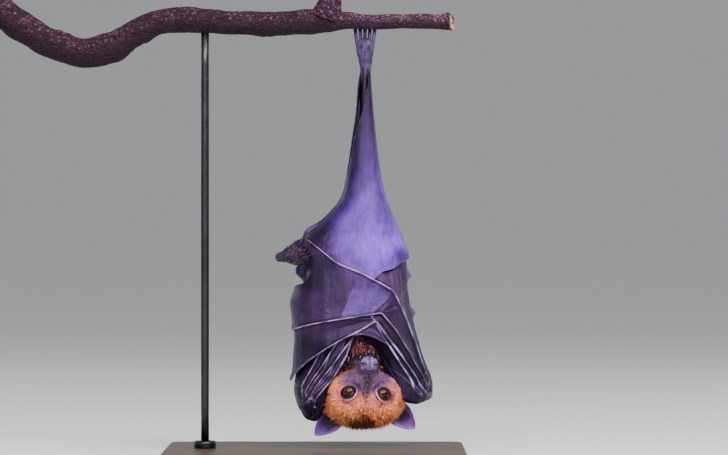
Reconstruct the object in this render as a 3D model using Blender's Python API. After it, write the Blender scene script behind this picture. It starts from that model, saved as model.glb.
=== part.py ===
"""A fruit bat that hangs by one foot from a cut branch, wrapped in its folded wings, on a display stand.

Sizes are in millimetres and are turned into metres where a mesh is made. X runs to the bat's right, which
is the viewer's right because it hangs head down facing -Y; Z is the height above the floor. X is counted
from the hanging leg until a mesh is made, where LEG_FROM_CENTRE moves it to the stand's own centre.

The wings lie on one closed form, the wrap. A place on it is an angle round the body, 0 at the front and
positive to the right, a height, and a lift out from the wrap. Every membrane, finger and arm bone is laid
out in those three numbers, so that the layers of the folded wings never meet.
"""

import math

import bmesh
import bpy
import numpy as np

MM = 0.001
GAP = 0.35  # clearance between neighbouring pieces

# Display stand
LEG_FROM_CENTRE = 50.0  # the hanging leg, right of the stand's centre
BASE_SIZE = (300.0, 190.0, 12.0)
BASE_CORNER_R = 14.0
BASE_EDGE_R = 2.0
ROD_R = 4.0
ROD_X = -160.0
ROD_IN_BRANCH = 9.0
COLLAR_R = 11.0
COLLAR_HEIGHT = 7.0

# Branch: X, height and radius of its axis, from the thick cut end to the thin one
BRANCH_AXIS = (
    (-376, 458, 16.5),
    (-343, 433, 15.0),
    (-312, 416, 14.4),
    (-280, 407, 14.6),
    (-254, 412, 15.2),
    (-230, 427, 12.5),
    (-204, 438, 12.8),
    (-175, 440.5, 12.8),
    (-135, 437, 11.8),
    (-100, 436.5, 12.0),
    (-67, 437.5, 12.0),
    (-40, 439, 11.2),
    (-20, 439.2, 8.4),
    (0, 438.5, 7.5),
    (45, 438.8, 7.1),
    (76, 437.7, 7.3),
    (86, 438.2, 8.4),
)
BRANCH_SIDES = 12
TWIG_AXIS = ((-38, 440, 10.0), (-36, 452, 9.5), (-33, 463, 8.0), (-31, 474, 7.2))
GRIP_Z = 438.5
GRIP_R = 7.5

# The wrap: height, then how far it reaches left, right, forward and back of the hanging leg's axis
WRAP_STATIONS = np.array(
    (
        (34, -58, 56, 34, 28),
        (60, -70, 65, 43, 33),
        (78, -74.5, 66.5, 47, 36),
        (101, -73.5, 59.5, 48, 38),
        (130, -72.5, 50.5, 46, 39),
        (157, -74.5, 45, 43, 38),
        (175, -70, 42, 41, 36),
        (204, -68, 41, 36, 33),
        (223, -61.5, 37, 31, 29),
        (240, -42.5, 30, 25.5, 24),
        (260, -25, 22.5, 19, 18),
        (280, -18.5, 17, 14.5, 14.5),
        (320, -12.5, 11.5, 10.5, 11),
        (360, -7.5, 8, 7.5, 8),
        (392, -5.5, 6, 6.5, 6),
    )
)
WRAP_POWER = 2.2
MEMBRANE = 1.0  # thickness of every wing membrane
BEYOND, WITHIN = 13, 6  # steps along each long finger beyond its knuckle, and within the palm
FINGER_R = 1.7
LEFT_LIFT = -8.0  # the left wing lies this far under the right one
NECK_SHARE = 0.22  # the most of the wrap's own radius that any layer may sink

# Joints of the right wing as seen from the front: X, height
FINGER5_TIP, FINGER5_MID, FINGER5_KNUCKLE = (-59.2, 223), (-28.5, 198), (28.5, 169)
FINGER4_KNUCKLE, FINGER4_MID, FINGER4_TIP = (16, 148.5), (-71.5, 130), (-42, 163)
FINGER3_KNUCKLE, FINGER3_BEND, FINGER3_MID, FINGER3_TIP = (11, 141), (-21.5, 123), (-73.5, 79), (-38, 118)
FINGER2_TIP, FINGER2_MID = (23.5, 116.5), (31.5, 103.5)
PALM5, PALM4, PALM3, PALM2 = (60.5, 88), (59, 80.5), (54, 75.5), (48.3, 72.5)
ARCH_TOP = (-3, 126.4)
ELBOW_CORNER = (43.2, 206)

# Arm bones as angle (degrees), height, lift and radius
UPPER_ARM_RIGHT = ((142, 118, -7.4, 5.4), (136, 150, -7.2, 5.2), (129, 176, -7.0, 4.6), (124, 187, -7.0, 4.2))
FOREARM_RIGHT = ((108, 203, -6.4, 4.4), (108, 190, -6.0, 4.2), (106, 150, -4.6, 3.8), (101, 112, -3.6, 3.5), (96, 92, -3.4, 3.6))
UPPER_ARM_LEFT = ((-142, 118, -8.6, 5.4), (-140, 146, -8.8, 5.0), (-134, 168, -9.0, 4.4), (-129, 179, -9.4, 4.0))
FOREARM_LEFT = ((-101, 189, -11.0, 4.0), (-102, 176, -13.2, 4.0), (-102, 140, -12.6, 3.8), (-101, 100, -9.5, 3.5), (-98, 80, -7.4, 3.6))
WRIST_RIGHT = ((84, 77, -4.4, 5.6), (68, 67.5, -5.8, 7.8), (52, 63.5, -5.4, 7.0), (43, 65, -4.6, 4.4))
THUMB_RIGHT = ((60, 55.5, -2.4, 2.4), (52, 52.5, -2.4, 2.2), (46, 52.5, -2.2, 1.6), (42, 54.5, -1.6, 0.8))
WRIST_LEFT = ((-86, 66, -5.0, 5.6), (-70, 54.5, -6.0, 8.0), (-57, 51.5, -4.6, 7.0), (-48, 54.5, -3.6, 4.6))
THUMB_LEFT = ((-71, 42.5, -0.8, 1.9), (-67, 39.8, -0.6, 1.7), (-63, 38.3, -0.6, 1.4), (-59.5, 38.4, -0.4, 0.7))

# Joints of the left wing, which the right one mostly covers
LEFT_PALM5, LEFT_PALM4, LEFT_PALM3, LEFT_PALM2 = (-65, 74), (-60.5, 67.5), (-54.8, 63.5), (-48.8, 61.5)
LEFT_KNUCKLE5, LEFT_KNUCKLE4, LEFT_KNUCKLE3, LEFT_TIP2 = (-24, 150), (-14, 139), (-8, 127), (-19, 103)
LEFT_END5, LEFT_END4, LEFT_END3 = (99, 184), (99, 147), (38, 124)  # the first two as angle, height

# Trunk: X and height of the section, then its half width, forward and back reach
TRUNK_STATIONS = (
    (-6.5, 114, 37.5, 33, 32.5),
    (-9.0, 128, 37.5, 32.5, 34),
    (-11, 145, 37, 32, 35.5),
    (-12.5, 162, 36.5, 31, 35),
    (-12, 180, 34.5, 26, 33),
    (-11, 198, 32, 21, 30.5),
    (-10.5, 214, 29, 18.5, 27.5),
    (-9.5, 230, 21.5, 15, 23),
    (-7, 246, 14.5, 11.5, 17),
    (-5, 258, 9.5, 8.5, 12),
)

# Head: its own axes run forward to the nose, up to the crown and right
HEAD_CENTRE = (-0.9, -26.0, 66.5)
HEAD_PITCH, HEAD_YAW, HEAD_ROLL = 40.0, 9.0, 3.5  # degrees
# How far forward, the section's middle, half width, height over and depth under it
HEAD_STATIONS = (
    (45.0, -5.0, 5.5, 4.5, 5.0),
    (41.5, -5.0, 9.5, 7.0, 8.5),
    (33.0, -5.0, 12.0, 9.0, 11.5),
    (25.0, -4.5, 17.0, 12.5, 14.0),
    (16.5, -3.0, 27.0, 18.5, 18.0),
    (7.0, -1.0, 36.0, 24.0, 20.0),
    (-5.0, 0.0, 40.0, 27.5, 22.0),
    (-16.0, 0.0, 38.5, 27.5, 22.0),
    (-27.0, 0.0, 30.0, 22.5, 18.0),
    (-35.0, 0.0, 18.0, 14.0, 11.0),
)
HEAD_SIDES = 20
EAR_OUTLINE = ((0, 0.2, 0.4, 0.6, 0.78, 0.9, 1.0), (0.8, 0.97, 1.0, 0.88, 0.62, 0.38, 0.1))
EYE_R = 6.6
EYE_AT = (17.4, 9.8, 16.0)  # right, up, forward of the head's centre

# The coat: colours and surfaces of each kind of piece (linear RGB, roughness)
PAINTS = {
    "fur_orange": ((0.48, 0.14, 0.035), 0.85),
    "fur_dark": ((0.045, 0.026, 0.022), 0.85),
    "wing_skin": ((0.115, 0.085, 0.22), 0.5),
    "bare_skin": ((0.06, 0.045, 0.10), 0.5),
    "eye": ((0.09, 0.018, 0.010), 0.08),
    "bark": ((0.11, 0.065, 0.075), 0.9),
    "stand_metal": ((0.02, 0.02, 0.022), 0.4),
    "stand_wood": ((0.055, 0.032, 0.022), 0.5),
}


# ---------------------------------------------------------------- curves and places


def smooth(knots, values, at):
    """Monotone cubic through rising knots, held level outside them."""
    knots, values = np.asarray(knots, float), np.asarray(values, float)
    step = np.diff(knots)
    rise = np.diff(values) / step
    slope = np.zeros_like(values)
    total = np.where(rise[:-1] * rise[1:] > 0, rise[:-1] + rise[1:], 1.0)
    slope[1:-1] = np.where(rise[:-1] * rise[1:] > 0, 2 * rise[:-1] * rise[1:] / total, 0.0)
    at = np.clip(np.asarray(at, float), knots[0], knots[-1])
    i = np.clip(np.searchsorted(knots, at, "right") - 1, 0, len(step) - 1)
    t = (at - knots[i]) / step[i]
    return (
        values[i] * (1 + 2 * t) * (1 - t) ** 2
        + values[i + 1] * t**2 * (3 - 2 * t)
        + step[i] * t * (1 - t) * (slope[i] * (1 - t) - slope[i + 1] * t)
    )


def wrap_reach(z):
    """Left, right, front and back reach of the wrap at these heights."""
    return [smooth(WRAP_STATIONS[:, 0], WRAP_STATIONS[:, k], z) for k in range(1, 5)]


def wrap_point(angle, z, lift):
    """The point at this angle and height, lifted out level from the wrap, whose sections are super-ellipses."""
    angle, z, lift = np.broadcast_arrays(np.asarray(angle, float), z, lift)
    left, right, front, back = wrap_reach(z)
    half = (right - left) / 2
    depth = np.where(np.cos(angle) > 0, front, back)
    across = np.sign(np.sin(angle)) * np.abs(np.sin(angle)) ** (2 / WRAP_POWER)
    forward = np.sign(np.cos(angle)) * np.abs(np.cos(angle)) ** (2 / WRAP_POWER)
    out_x = np.sign(across) * np.abs(across) ** (WRAP_POWER - 1) / half
    out_y = -np.sign(forward) * np.abs(forward) ** (WRAP_POWER - 1) / depth
    size = np.hypot(out_x, out_y)
    return np.stack(
        ((left + right) / 2 + half * across + lift * out_x / size, -depth * forward + lift * out_y / size, z), -1
    )


def unrolled(x, z, behind=0):
    """A place seen from the front as (share of the half width, height); behind is 0, or the side it lies on."""
    left, right, _, _ = wrap_reach(z)
    share = (x - (left + right) / 2) / ((right - left) / 2)
    return (behind * (2 - abs(share)) if behind else float(share), z)


def front(*places):
    return [unrolled(*place) for place in places]


def angle_at(share):
    """The angle of an unrolled place: past 1 it has gone round the side and comes back in behind."""
    inner = np.where(np.abs(share) > 1, 2 - np.abs(share), np.abs(share))
    turn = np.arcsin(np.clip(inner, 0, 1) ** (WRAP_POWER / 2))
    return np.sign(share) * np.where(np.abs(share) > 1, math.pi - turn, turn)


def girth(z):
    """Mean radius of the wrap, which turns an angle into a length."""
    left, right, front_reach, back = wrap_reach(z)
    return ((right - left) + front_reach + back) / 4


def pace(line):
    """Length along the wrap for each radian of angle, at each place of a track."""
    nudge = 0.02
    ahead = wrap_point(line[:, 0] + nudge, line[:, 1], 0)
    return np.linalg.norm(ahead - wrap_point(line[:, 0] - nudge, line[:, 1], 0), axis=1) / (2 * nudge)


def even(track, count):
    """A dense track of (angle, height) resampled at equal steps along the wrap."""
    run = np.concatenate(([0], np.cumsum(np.linalg.norm(np.diff(wrap_point(*track.T, 0), axis=0), axis=1))))
    at = np.linspace(0, run[-1], count)
    return np.column_stack([np.interp(at, run, track[:, k]) for k in (0, 1)])


def track(places, count):
    """Straight stretches between unrolled places, as count places (angle, height) that keep every corner."""
    places = np.array(places, float)
    places = np.column_stack((angle_at(places[:, 0]), places[:, 1]))
    shares = [np.linspace(0, 1, 12)[:, None] for _ in places[1:]]
    runs = [(1 - t) * a + t * b for t, a, b in zip(shares, places[:-1], places[1:])]
    length = np.array([np.linalg.norm(np.diff(wrap_point(*run.T, 0), axis=0), axis=1).sum() for run in runs])
    steps = np.ones(len(length), int)
    while steps.sum() < count - 1:
        steps[np.argmax(length / steps)] += 1
    line = [places[:1]]
    for run, number in zip(runs, steps):
        line.append(even(run, number + 1)[1:])
    return np.concatenate(line)


def beside(line, margin):
    """A track moved to its left (seen from outside, going along it) by margin, with mitred corners."""
    scale = np.column_stack((pace(line), np.ones(len(line))))
    step = np.diff(line, axis=0) * (scale[1:] + scale[:-1]) / 2
    step /= np.linalg.norm(step, axis=1)[:, None]
    normal = np.column_stack((-step[:, 1], step[:, 0]))
    before, after = np.vstack((normal[:1], normal)), np.vstack((normal, normal[-1:]))
    middle = before + after
    mitre = 2 / np.maximum((middle**2).sum(1), 1.2)
    return line + margin * middle * mitre[:, None] / scale


# ---------------------------------------------------------------- solids


def paint(name):
    material = bpy.data.materials.get(name) or bpy.data.materials.new(name)
    if not material.use_nodes:
        material.use_nodes = True
        colour, rough = PAINTS[name]
        shader = material.node_tree.nodes["Principled BSDF"]
        shader.inputs["Base Color"].default_value = (*colour, 1.0)
        shader.inputs["Roughness"].default_value = rough
        shader.inputs["Metallic"].default_value = 1.0 if name == "stand_metal" else 0.0
    return material


def solid(name, points, faces, finish):
    """One closed mesh object, from points in millimetres, with its faces turned outwards."""
    points = (np.asarray(points, float).reshape(-1, 3) + (LEG_FROM_CENTRE, 0, 0)) * MM
    mesh = bpy.data.meshes.new(name)
    mesh.from_pydata(points.tolist(), [], [list(map(int, face)) for face in faces])
    turned = bmesh.new()
    turned.from_mesh(mesh)
    bmesh.ops.recalc_face_normals(turned, faces=turned.faces)
    if turned.calc_volume(signed=True) < 0:
        bmesh.ops.reverse_faces(turned, faces=turned.faces)
    turned.to_mesh(mesh)
    turned.free()
    mesh.shade_smooth()
    mesh.set_sharp_from_angle(angle=math.radians(40))
    mesh.materials.append(paint(finish))
    piece = bpy.data.objects.new(name, mesh)
    bpy.context.scene.collection.objects.link(piece)
    return piece


def ring_faces(rows, sides):
    return [
        (r * sides + s, r * sides + (s + 1) % sides, (r + 1) * sides + (s + 1) % sides, (r + 1) * sides + s)
        for r in range(rows - 1)
        for s in range(sides)
    ]


def loft(name, rings, first, last, finish):
    """A closed skin over rings of points, drawn in to the point first before them and last after them."""
    rings = np.asarray(rings, float)
    rows, sides, _ = rings.shape
    points = np.vstack((rings.reshape(-1, 3), [first], [last]))
    start, end = rows * sides, rows * sides + 1
    faces = ring_faces(rows, sides)
    faces += [(start, (s + 1) % sides, s) for s in range(sides)]
    faces += [(end, (rows - 1) * sides + s, (rows - 1) * sides + (s + 1) % sides) for s in range(sides)]
    return solid(name, points, faces, finish)


def carried_rings(line, radii, sides, squash=1.0, flat_way=(0, 0, 1)):
    """Rings carried along a line of points; squash thins them along flat_way."""
    line, radii = np.asarray(line, float), np.asarray(radii, float)
    ahead = np.gradient(line, axis=0)
    ahead /= np.linalg.norm(ahead, axis=1)[:, None]
    thin = np.broadcast_to(np.asarray(flat_way, float), line.shape)
    thin = thin - (thin * ahead).sum(1)[:, None] * ahead
    thin /= np.linalg.norm(thin, axis=1)[:, None]
    wide = np.cross(ahead, thin)
    turn = np.linspace(0, 2 * math.pi, sides, endpoint=False)
    offset = np.cos(turn)[None, :, None] * wide[:, None] + squash * np.sin(turn)[None, :, None] * thin[:, None]
    return line[:, None] + radii[:, None, None] * offset, ahead


def tube(name, line, radii, finish, sides=6, squash=1.0, flat_way=(0, 0, 1)):
    """A limb or finger along a line, with domed ends."""
    rings, ahead = carried_rings(line, radii, sides, squash, flat_way)
    first = line[0] - ahead[0] * radii[0] * 0.5
    last = line[-1] + ahead[-1] * radii[-1] * 0.5
    return loft(name, rings, first, last, finish)


def slab(name, outer, inner, finish):
    """A sheet closed between two grids of points."""
    rows, columns, _ = outer.shape
    count = rows * columns
    cell = [
        (r * columns + c, r * columns + c + 1, (r + 1) * columns + c + 1, (r + 1) * columns + c)
        for r in range(rows - 1)
        for c in range(columns - 1)
    ]
    rim = list(range(columns)) + [r * columns + columns - 1 for r in range(1, rows)]
    rim += [(rows - 1) * columns + c for c in range(columns - 2, -1, -1)]
    rim += [r * columns for r in range(rows - 2, 0, -1)]
    faces = cell + [tuple(v + count for v in reversed(face)) for face in cell]
    faces += [(a, b, b + count, a + count) for a, b in zip(rim, rim[1:] + rim[:1])]
    return solid(name, np.concatenate((outer.reshape(-1, 3), inner.reshape(-1, 3))), faces, finish)


def panel(name, top, bottom, left, right, lift, finish="wing_skin", thick=MEMBRANE):
    """A membrane between four tracks, lifted by lift(along, down); the ends' curves fade out along it."""
    along = np.linspace(0, 1, len(top))[None, :, None]
    down = np.linspace(0, 1, len(left))[:, None, None]
    left_bow = left[:, None] - (1 - down) * left[0] - down * left[-1]
    right_bow = right[:, None] - (1 - down) * right[0] - down * right[-1]
    place = (1 - down) * top[None] + down * bottom[None] + (1 - along) ** 3 * left_bow + along**3 * right_bow
    height = lift(along[..., 0], down[..., 0]) + np.zeros(place.shape[:2])
    outer = wrap_point(place[..., 0], place[..., 1], height)
    inner = wrap_point(place[..., 0], place[..., 1], height - thick)
    return slab(name, outer, inner, finish)


def straight(a, b, count):
    return np.linspace(a, b, count)


def closed_panel(name, top, bottom, lift, rows, **more):
    """A membrane whose two ends are straight lines between its tracks."""
    return panel(
        name, top, bottom, straight(top[0], bottom[0], rows), straight(top[-1], bottom[-1], rows), lift, **more
    )


def cut(piece, cutter, operation="DIFFERENCE"):
    """Applies a Boolean of piece with cutter, and drops the cutter."""
    change = piece.modifiers.new("Cut", "BOOLEAN")
    change.operation = operation
    change.object = cutter
    bpy.context.view_layer.update()
    changed = bpy.data.meshes.new_from_object(piece.evaluated_get(bpy.context.evaluated_depsgraph_get()))
    piece.modifiers.clear()
    piece.data = changed
    piece.data.name = piece.name
    bpy.data.objects.remove(cutter)
    return piece


# ---------------------------------------------------------------- stand and branch


def rounded_box(name, centre, size, corner, edge, finish):
    """A plate with round corners in plan and a small rounded edge top and bottom."""
    x, y, z = (value / 2 for value in size)
    turns = np.linspace(0, 2 * math.pi, 16, endpoint=False) + math.pi / 16
    middle = np.column_stack((np.sign(np.cos(turns)) * (x - corner), np.sign(np.sin(turns)) * (y - corner)))

    def outline(inset, height):
        ring = middle + (corner - inset) * np.column_stack((np.cos(turns), np.sin(turns)))
        return np.column_stack((ring, np.full(len(turns), height))) + centre

    steps = ((edge, -z), (0, -z + edge), (0, z - edge), (edge, z))
    rings = [outline(inset, height) for inset, height in steps]
    count = len(turns)
    faces = ring_faces(len(rings), count)
    faces += [tuple(range(count)), tuple(range(len(rings) * count - 1, (len(rings) - 1) * count - 1, -1))]
    return solid(name, np.concatenate(rings), faces, finish)


def upright(name, x, low, high, radius, finish, sides=20):
    """A round bar that stands on the base."""
    turns = np.linspace(0, 2 * math.pi, sides, endpoint=False)
    circle = np.column_stack((x + radius * np.cos(turns), radius * np.sin(turns)))
    rings = [np.column_stack((circle, np.full(sides, z))) for z in (low, high)]
    faces = ring_faces(2, sides)
    faces += [tuple(range(sides)), tuple(range(2 * sides - 1, sides - 1, -1))]
    return solid(name, np.concatenate(rings), faces, finish)


def make_stand():
    base_top = BASE_SIZE[2]
    rounded_box(
        "stand_base", (-LEG_FROM_CENTRE, 0, base_top / 2), BASE_SIZE, BASE_CORNER_R, BASE_EDGE_R, "stand_wood"
    )
    axis = np.array(BRANCH_AXIS, float)
    branch_z = np.interp(ROD_X, axis[:, 0], axis[:, 1])
    branch_r = np.interp(ROD_X, axis[:, 0], axis[:, 2])
    rod_top = branch_z - branch_r + ROD_IN_BRANCH
    upright("stand_rod", ROD_X, base_top + GAP, rod_top, ROD_R, "stand_metal")
    collar = upright(
        "stand_collar", ROD_X, base_top + GAP, base_top + GAP + COLLAR_HEIGHT, COLLAR_R, "stand_metal", 20
    )
    cut(collar, upright("collar_bore", ROD_X, base_top - 5, base_top + 20, ROD_R + GAP, "stand_metal"))
    return rod_top


def branch_rings(axis, steps, sides):
    axis = np.array(axis, float)
    run = np.linspace(0, 1, len(axis))
    at = np.linspace(0, 1, steps)
    x, z, radius = (smooth(run, axis[:, k], at) for k in range(3))
    line = np.column_stack((x, np.zeros(steps), z))
    return line, carried_rings(line, radius, sides, flat_way=(0, 1, 0))[0]


def make_branch(rod_top):
    """The branch with its side twig cut short, and a drilled hole for the rod."""
    line, rings = branch_rings(BRANCH_AXIS, 29, BRANCH_SIDES)
    branch = loft("perch_branch", rings, line[0], line[-1], "bark")
    twig_line, twig_rings = branch_rings(TWIG_AXIS, 5, 10)
    cut(branch, loft("twig", twig_rings, twig_line[0], twig_line[-1], "bark"), "UNION")
    cut(branch, upright("rod_hole", ROD_X, rod_top - 40, rod_top + GAP, ROD_R + GAP, "bark"))


# ---------------------------------------------------------------- trunk, neck and head


def make_trunk():
    """The body's coat: an oval section whose middle, half width and reaches change with height."""
    turns = np.linspace(0, 2 * math.pi, 20, endpoint=False)
    rings = []
    for x, z, half, fore, aft in TRUNK_STATIONS:
        depth = np.where(np.sin(turns) < 0, fore, aft)
        rings.append(np.column_stack((x + half * np.cos(turns), depth * np.sin(turns), np.full(20, z))))
    first, last = TRUNK_STATIONS[0], TRUNK_STATIONS[-1]
    loft("trunk", rings, (first[0], 0, first[1]), (last[0], 0, last[1] + 3.0), "fur_dark")


def head_axes():
    """Right, up (to the crown) and forward (to the nose) of the head, as rows."""
    pitch, yaw, roll = (math.radians(v) for v in (HEAD_PITCH, HEAD_YAW, HEAD_ROLL))
    right = np.array((1.0, 0, 0))
    up = np.array((0, -math.sin(pitch), -math.cos(pitch)))
    ahead = np.array((0, -math.cos(pitch), math.sin(pitch)))
    right, ahead = (
        right * math.cos(yaw) - ahead * math.sin(yaw),
        ahead * math.cos(yaw) + right * math.sin(yaw),
    )
    turn = np.array(
        ((math.cos(roll), 0, -math.sin(roll)), (0, 1, 0), (math.sin(roll), 0, math.cos(roll)))
    )
    return np.array((turn @ right, turn @ up, turn @ ahead))


def in_head(right, up, ahead):
    """A place in the head's own axes as a point of the model."""
    place = np.stack(np.broadcast_arrays(right, up, ahead), -1)
    return np.array(HEAD_CENTRE) + place @ head_axes()


def make_head(name="head", grow=0.0):
    """The head with its coat: a muzzle that widens into the cheeks and crown."""
    turns = np.linspace(0, 2 * math.pi, HEAD_SIDES, endpoint=False)
    rings = []
    for ahead, middle, half, over, under in HEAD_STATIONS:
        height = np.where(np.sin(turns) > 0, over, under) + grow
        rings.append(in_head((half + grow) * np.cos(turns), middle + height * np.sin(turns), ahead))
    first = in_head(0.0, -5.0, HEAD_STATIONS[0][0] + 1.5 + grow)
    last = in_head(0.0, 0.0, HEAD_STATIONS[-1][0] - 4.0 - grow)
    return loft(name, rings, first, last, "fur_orange")


def eyeball(name, side, radius):
    """A sphere in its socket."""
    centre = in_head(side * EYE_AT[0], EYE_AT[1], EYE_AT[2])
    rise = np.linspace(-math.pi / 2, math.pi / 2, 8)[1:-1]
    turns = np.linspace(0, 2 * math.pi, 12, endpoint=False)
    rings = [
        centre
        + radius * np.column_stack((math.cos(a) * np.cos(turns), np.full(12, math.sin(a)), math.cos(a) * np.sin(turns)))
        for a in rise
    ]
    reach = np.array((0, radius, 0))
    return loft(name, rings, centre - reach, centre + reach, "eye")


def make_neck():
    """The neck and chest coat, from the shoulders round to the back of the head."""
    stations = (
        (-5.5, -2.0, 113.6, 40, 31),
        (-4.5, -4.0, 104, 38, 30),
        (-3.0, -7.0, 92, 35, 27),
        (-1.5, -9.0, 80, 33, 24),
        (0.0, -9.0, 68, 29, 20),
        (0.5, -8.0, 58, 22, 14),
    )
    turns = np.linspace(0, 2 * math.pi, 20, endpoint=False)
    rings = [
        np.column_stack((x + half * np.cos(turns), y + depth * np.sin(turns), np.full(20, z)))
        for x, y, z, half, depth in stations
    ]
    neck = loft("neck", rings, (-5.5, -2, 113.6), (0.5, -6, 54), "fur_orange")
    cut(neck, make_head("head_room", GAP))


def leaf(name, base, tip, side_way, width, cup, finish, thick=1.1):
    """An ear: a cupped leaf from base to tip, whose hollow faces the front."""
    base, tip, side_way = (np.array(v, float) for v in (base, tip, side_way))
    along = np.linspace(0, 1, 8)[:, None]
    across = np.linspace(-1, 1, 7)[None, :]
    half = width * smooth(EAR_OUTLINE[0], EAR_OUTLINE[1], along)
    axis = (tip - base) / np.linalg.norm(tip - base)
    side_way = side_way - axis * (side_way @ axis)
    side_way /= np.linalg.norm(side_way)
    hollow = np.cross(axis, side_way)
    hollow *= -np.sign(hollow[1])
    deep = cup * (1 - across**2) * (1 - 0.75 * along)
    middle = base + along[..., None] * (tip - base)
    front_side = middle + (half * across)[..., None] * side_way + deep[..., None] * hollow
    back_side = front_side + thick * hollow
    ear = slab(name, front_side, back_side, finish)
    return cut(ear, make_head("head_room", GAP))


def make_head_parts():
    head = make_head()
    for side, name in ((-1, "eye_left"), (1, "eye_right")):
        cut(head, eyeball("socket", side, EYE_R + GAP))
        eyeball(name, side, EYE_R)
    leaf("ear_left", (-24, -19, 50.5), (-49.8, -15, 25.6), (1, 0, -0.75), 11.8, 5.5, "bare_skin")
    leaf("ear_right", (24.5, -19, 56), (49.6, -16, 32.2), (1, 0, 0.65), 12.2, 5.5, "bare_skin")
    make_neck()


# ---------------------------------------------------------------- legs and feet

ANKLE, KNEE, HIP = (0.5, 1.5, 391.5), (-0.5, 1.0, 326), (-3.0, 0.5, 267.5)
THIGH_LEFT = ((-45, 9, 222, 9.0), (-66, 10, 212, 10.3), (-88, 9, 202.5, 6.0))
SHANK_LEFT = ((-68, -4.0, 197.5, 3.2), (-54, -11, 197.5, 3.1), (-37, -19, 197, 2.8))


def limb(name, stations, finish, sides=10):
    """A limb through stations of X, Y, height and radius."""
    stations = np.array(stations, float)
    at = np.linspace(0, 1, 2 * len(stations) - 1)
    run = np.linspace(0, 1, len(stations))
    line = np.column_stack([smooth(run, stations[:, k], at) for k in range(3)])
    return tube(name, line, smooth(run, stations[:, 3], at), finish, sides, flat_way=(0, 1, 0.01))


def toe_line(x_low, x_high, start, grip):
    """A toe from the foot up behind the branch, then its claw over the top."""
    reach = GRIP_R + GAP + 2.0
    arc = np.radians(np.linspace(-52, 112, 8))
    claw = np.clip((np.degrees(arc) - 50) / 62, 0, 1)
    reach = reach - claw * 1.2
    y, z = reach * np.cos(arc), GRIP_Z + reach * np.sin(arc)
    x = np.full(len(arc), x_high)
    line = np.column_stack((x, y, z))
    line = np.vstack(((x_low, start[0], start[1]), line))
    radii = np.concatenate(([1.75], 1.55 - 1.05 * claw**0.8))
    return line, radii * grip


def make_gripping_foot():
    """The right foot: a narrow sole that spreads into five toes hooked over the branch."""
    sole = (
        (0.6, 1.5, 392.4, 4.3),
        (0.4, 1.5, 402, 5.6),
        (0.0, 1.5, 412, 7.8),
        (0.0, 1.5, 419, 8.6),
    )
    sole = np.array(sole)
    rings, _ = carried_rings(sole[:, :3], sole[:, 3], 10, squash=0.42, flat_way=(0, 1, 0))
    foot = loft("foot_right", rings, (0.6, 1.5, 392.0), (0, 1.5, 421), "bare_skin")
    for k in range(5):
        share = (k - 2) / 2
        line, radii = toe_line(6.9 * share, 9.8 * share, (1.5, 415.5), 1.0)
        cut(foot, tube("toe", line, radii, "bare_skin", 5, flat_way=(1, 0, 0)), "UNION")


def make_tucked_foot():
    """The left foot, closed against the belly under the wing."""
    sole = np.array(((-33, -20.0, 196.8, 2.9), (-27, -21.5, 196.0, 3.6), (-20, -24.2, 195.0, 4.6), (-16, -25.2, 194.5, 4.4)))
    rings, _ = carried_rings(sole[:, :3], sole[:, 3], 8, squash=0.5, flat_way=(0.2, 1, 0))
    foot = loft("foot_left", rings, (-34, -19.8, 197), (-14.8, -25.3, 194.4), "bare_skin")
    for k in range(5):
        rise = np.array((0, 0, 1.9 * (k - 2)))
        line = np.array(((-17, -25.2, 194.6), (-11, -25.8, 193.8), (-6.5, -25.6, 193), (-4, -24.6, 192.5))) + rise * (
            (0.9,), (1.0,), (1.1,), (1.15,)
        )
        cut(foot, tube("toe", line, np.array((1.0, 0.9, 0.75, 0.4)), "bare_skin", 5), "UNION")


def make_legs():
    thigh = ((HIP[0], HIP[1], HIP[2], 9.6), (-1.5, 0.6, 300, 7.0), (KNEE[0], KNEE[1], KNEE[2], 5.6))
    limb("thigh_right", thigh, "fur_dark")
    shank = ((KNEE[0], KNEE[1], KNEE[2] + 7, 4.8), (0, 1.0, 360, 3.9), (ANKLE[0], ANKLE[1], ANKLE[2] - 2.6, 3.2))
    limb("shank_right", shank, "bare_skin")
    make_gripping_foot()
    limb("thigh_left", THIGH_LEFT, "fur_dark")
    limb("shank_left", SHANK_LEFT, "bare_skin", 8)
    make_tucked_foot()


# ---------------------------------------------------------------- wings


def left_lift(z):
    """The left wing lies at the outside by its own wrist, and goes under the right wing above it."""
    return np.maximum(smooth((70, 105), (-3.6, LEFT_LIFT), z), -NECK_SHARE * girth(z))


def bone(name, line, lift, radii, finish="bare_skin", sides=5):
    """A finger along a track on the wrap."""
    points = wrap_point(line[:, 0], line[:, 1], lift)
    run = np.linspace(0, 1, len(line))
    radii = np.asarray(radii, float)
    radius = np.interp(run, np.linspace(0, 1, len(radii)), radii)
    return tube(name, points, radius, finish, sides, flat_way=(0.0, 1.0, 0.05))


def arm_line(stations, steps):
    """The axis of an arm bone as points, and its radii."""
    stations = np.array(stations, float)
    run, at = np.linspace(0, 1, len(stations)), np.linspace(0, 1, steps)
    angle, z, lift, radius = (smooth(run, stations[:, k], at) for k in range(4))
    return wrap_point(np.radians(angle), z, lift), radius


def arm(name, stations, finish, steps=9):
    """An arm bone with its flesh, through stations of angle, height, lift and radius."""
    line, radius = arm_line(stations, steps)
    return tube(name, line, radius, finish, 8, flat_way=(0, 1, 0.02))


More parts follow.
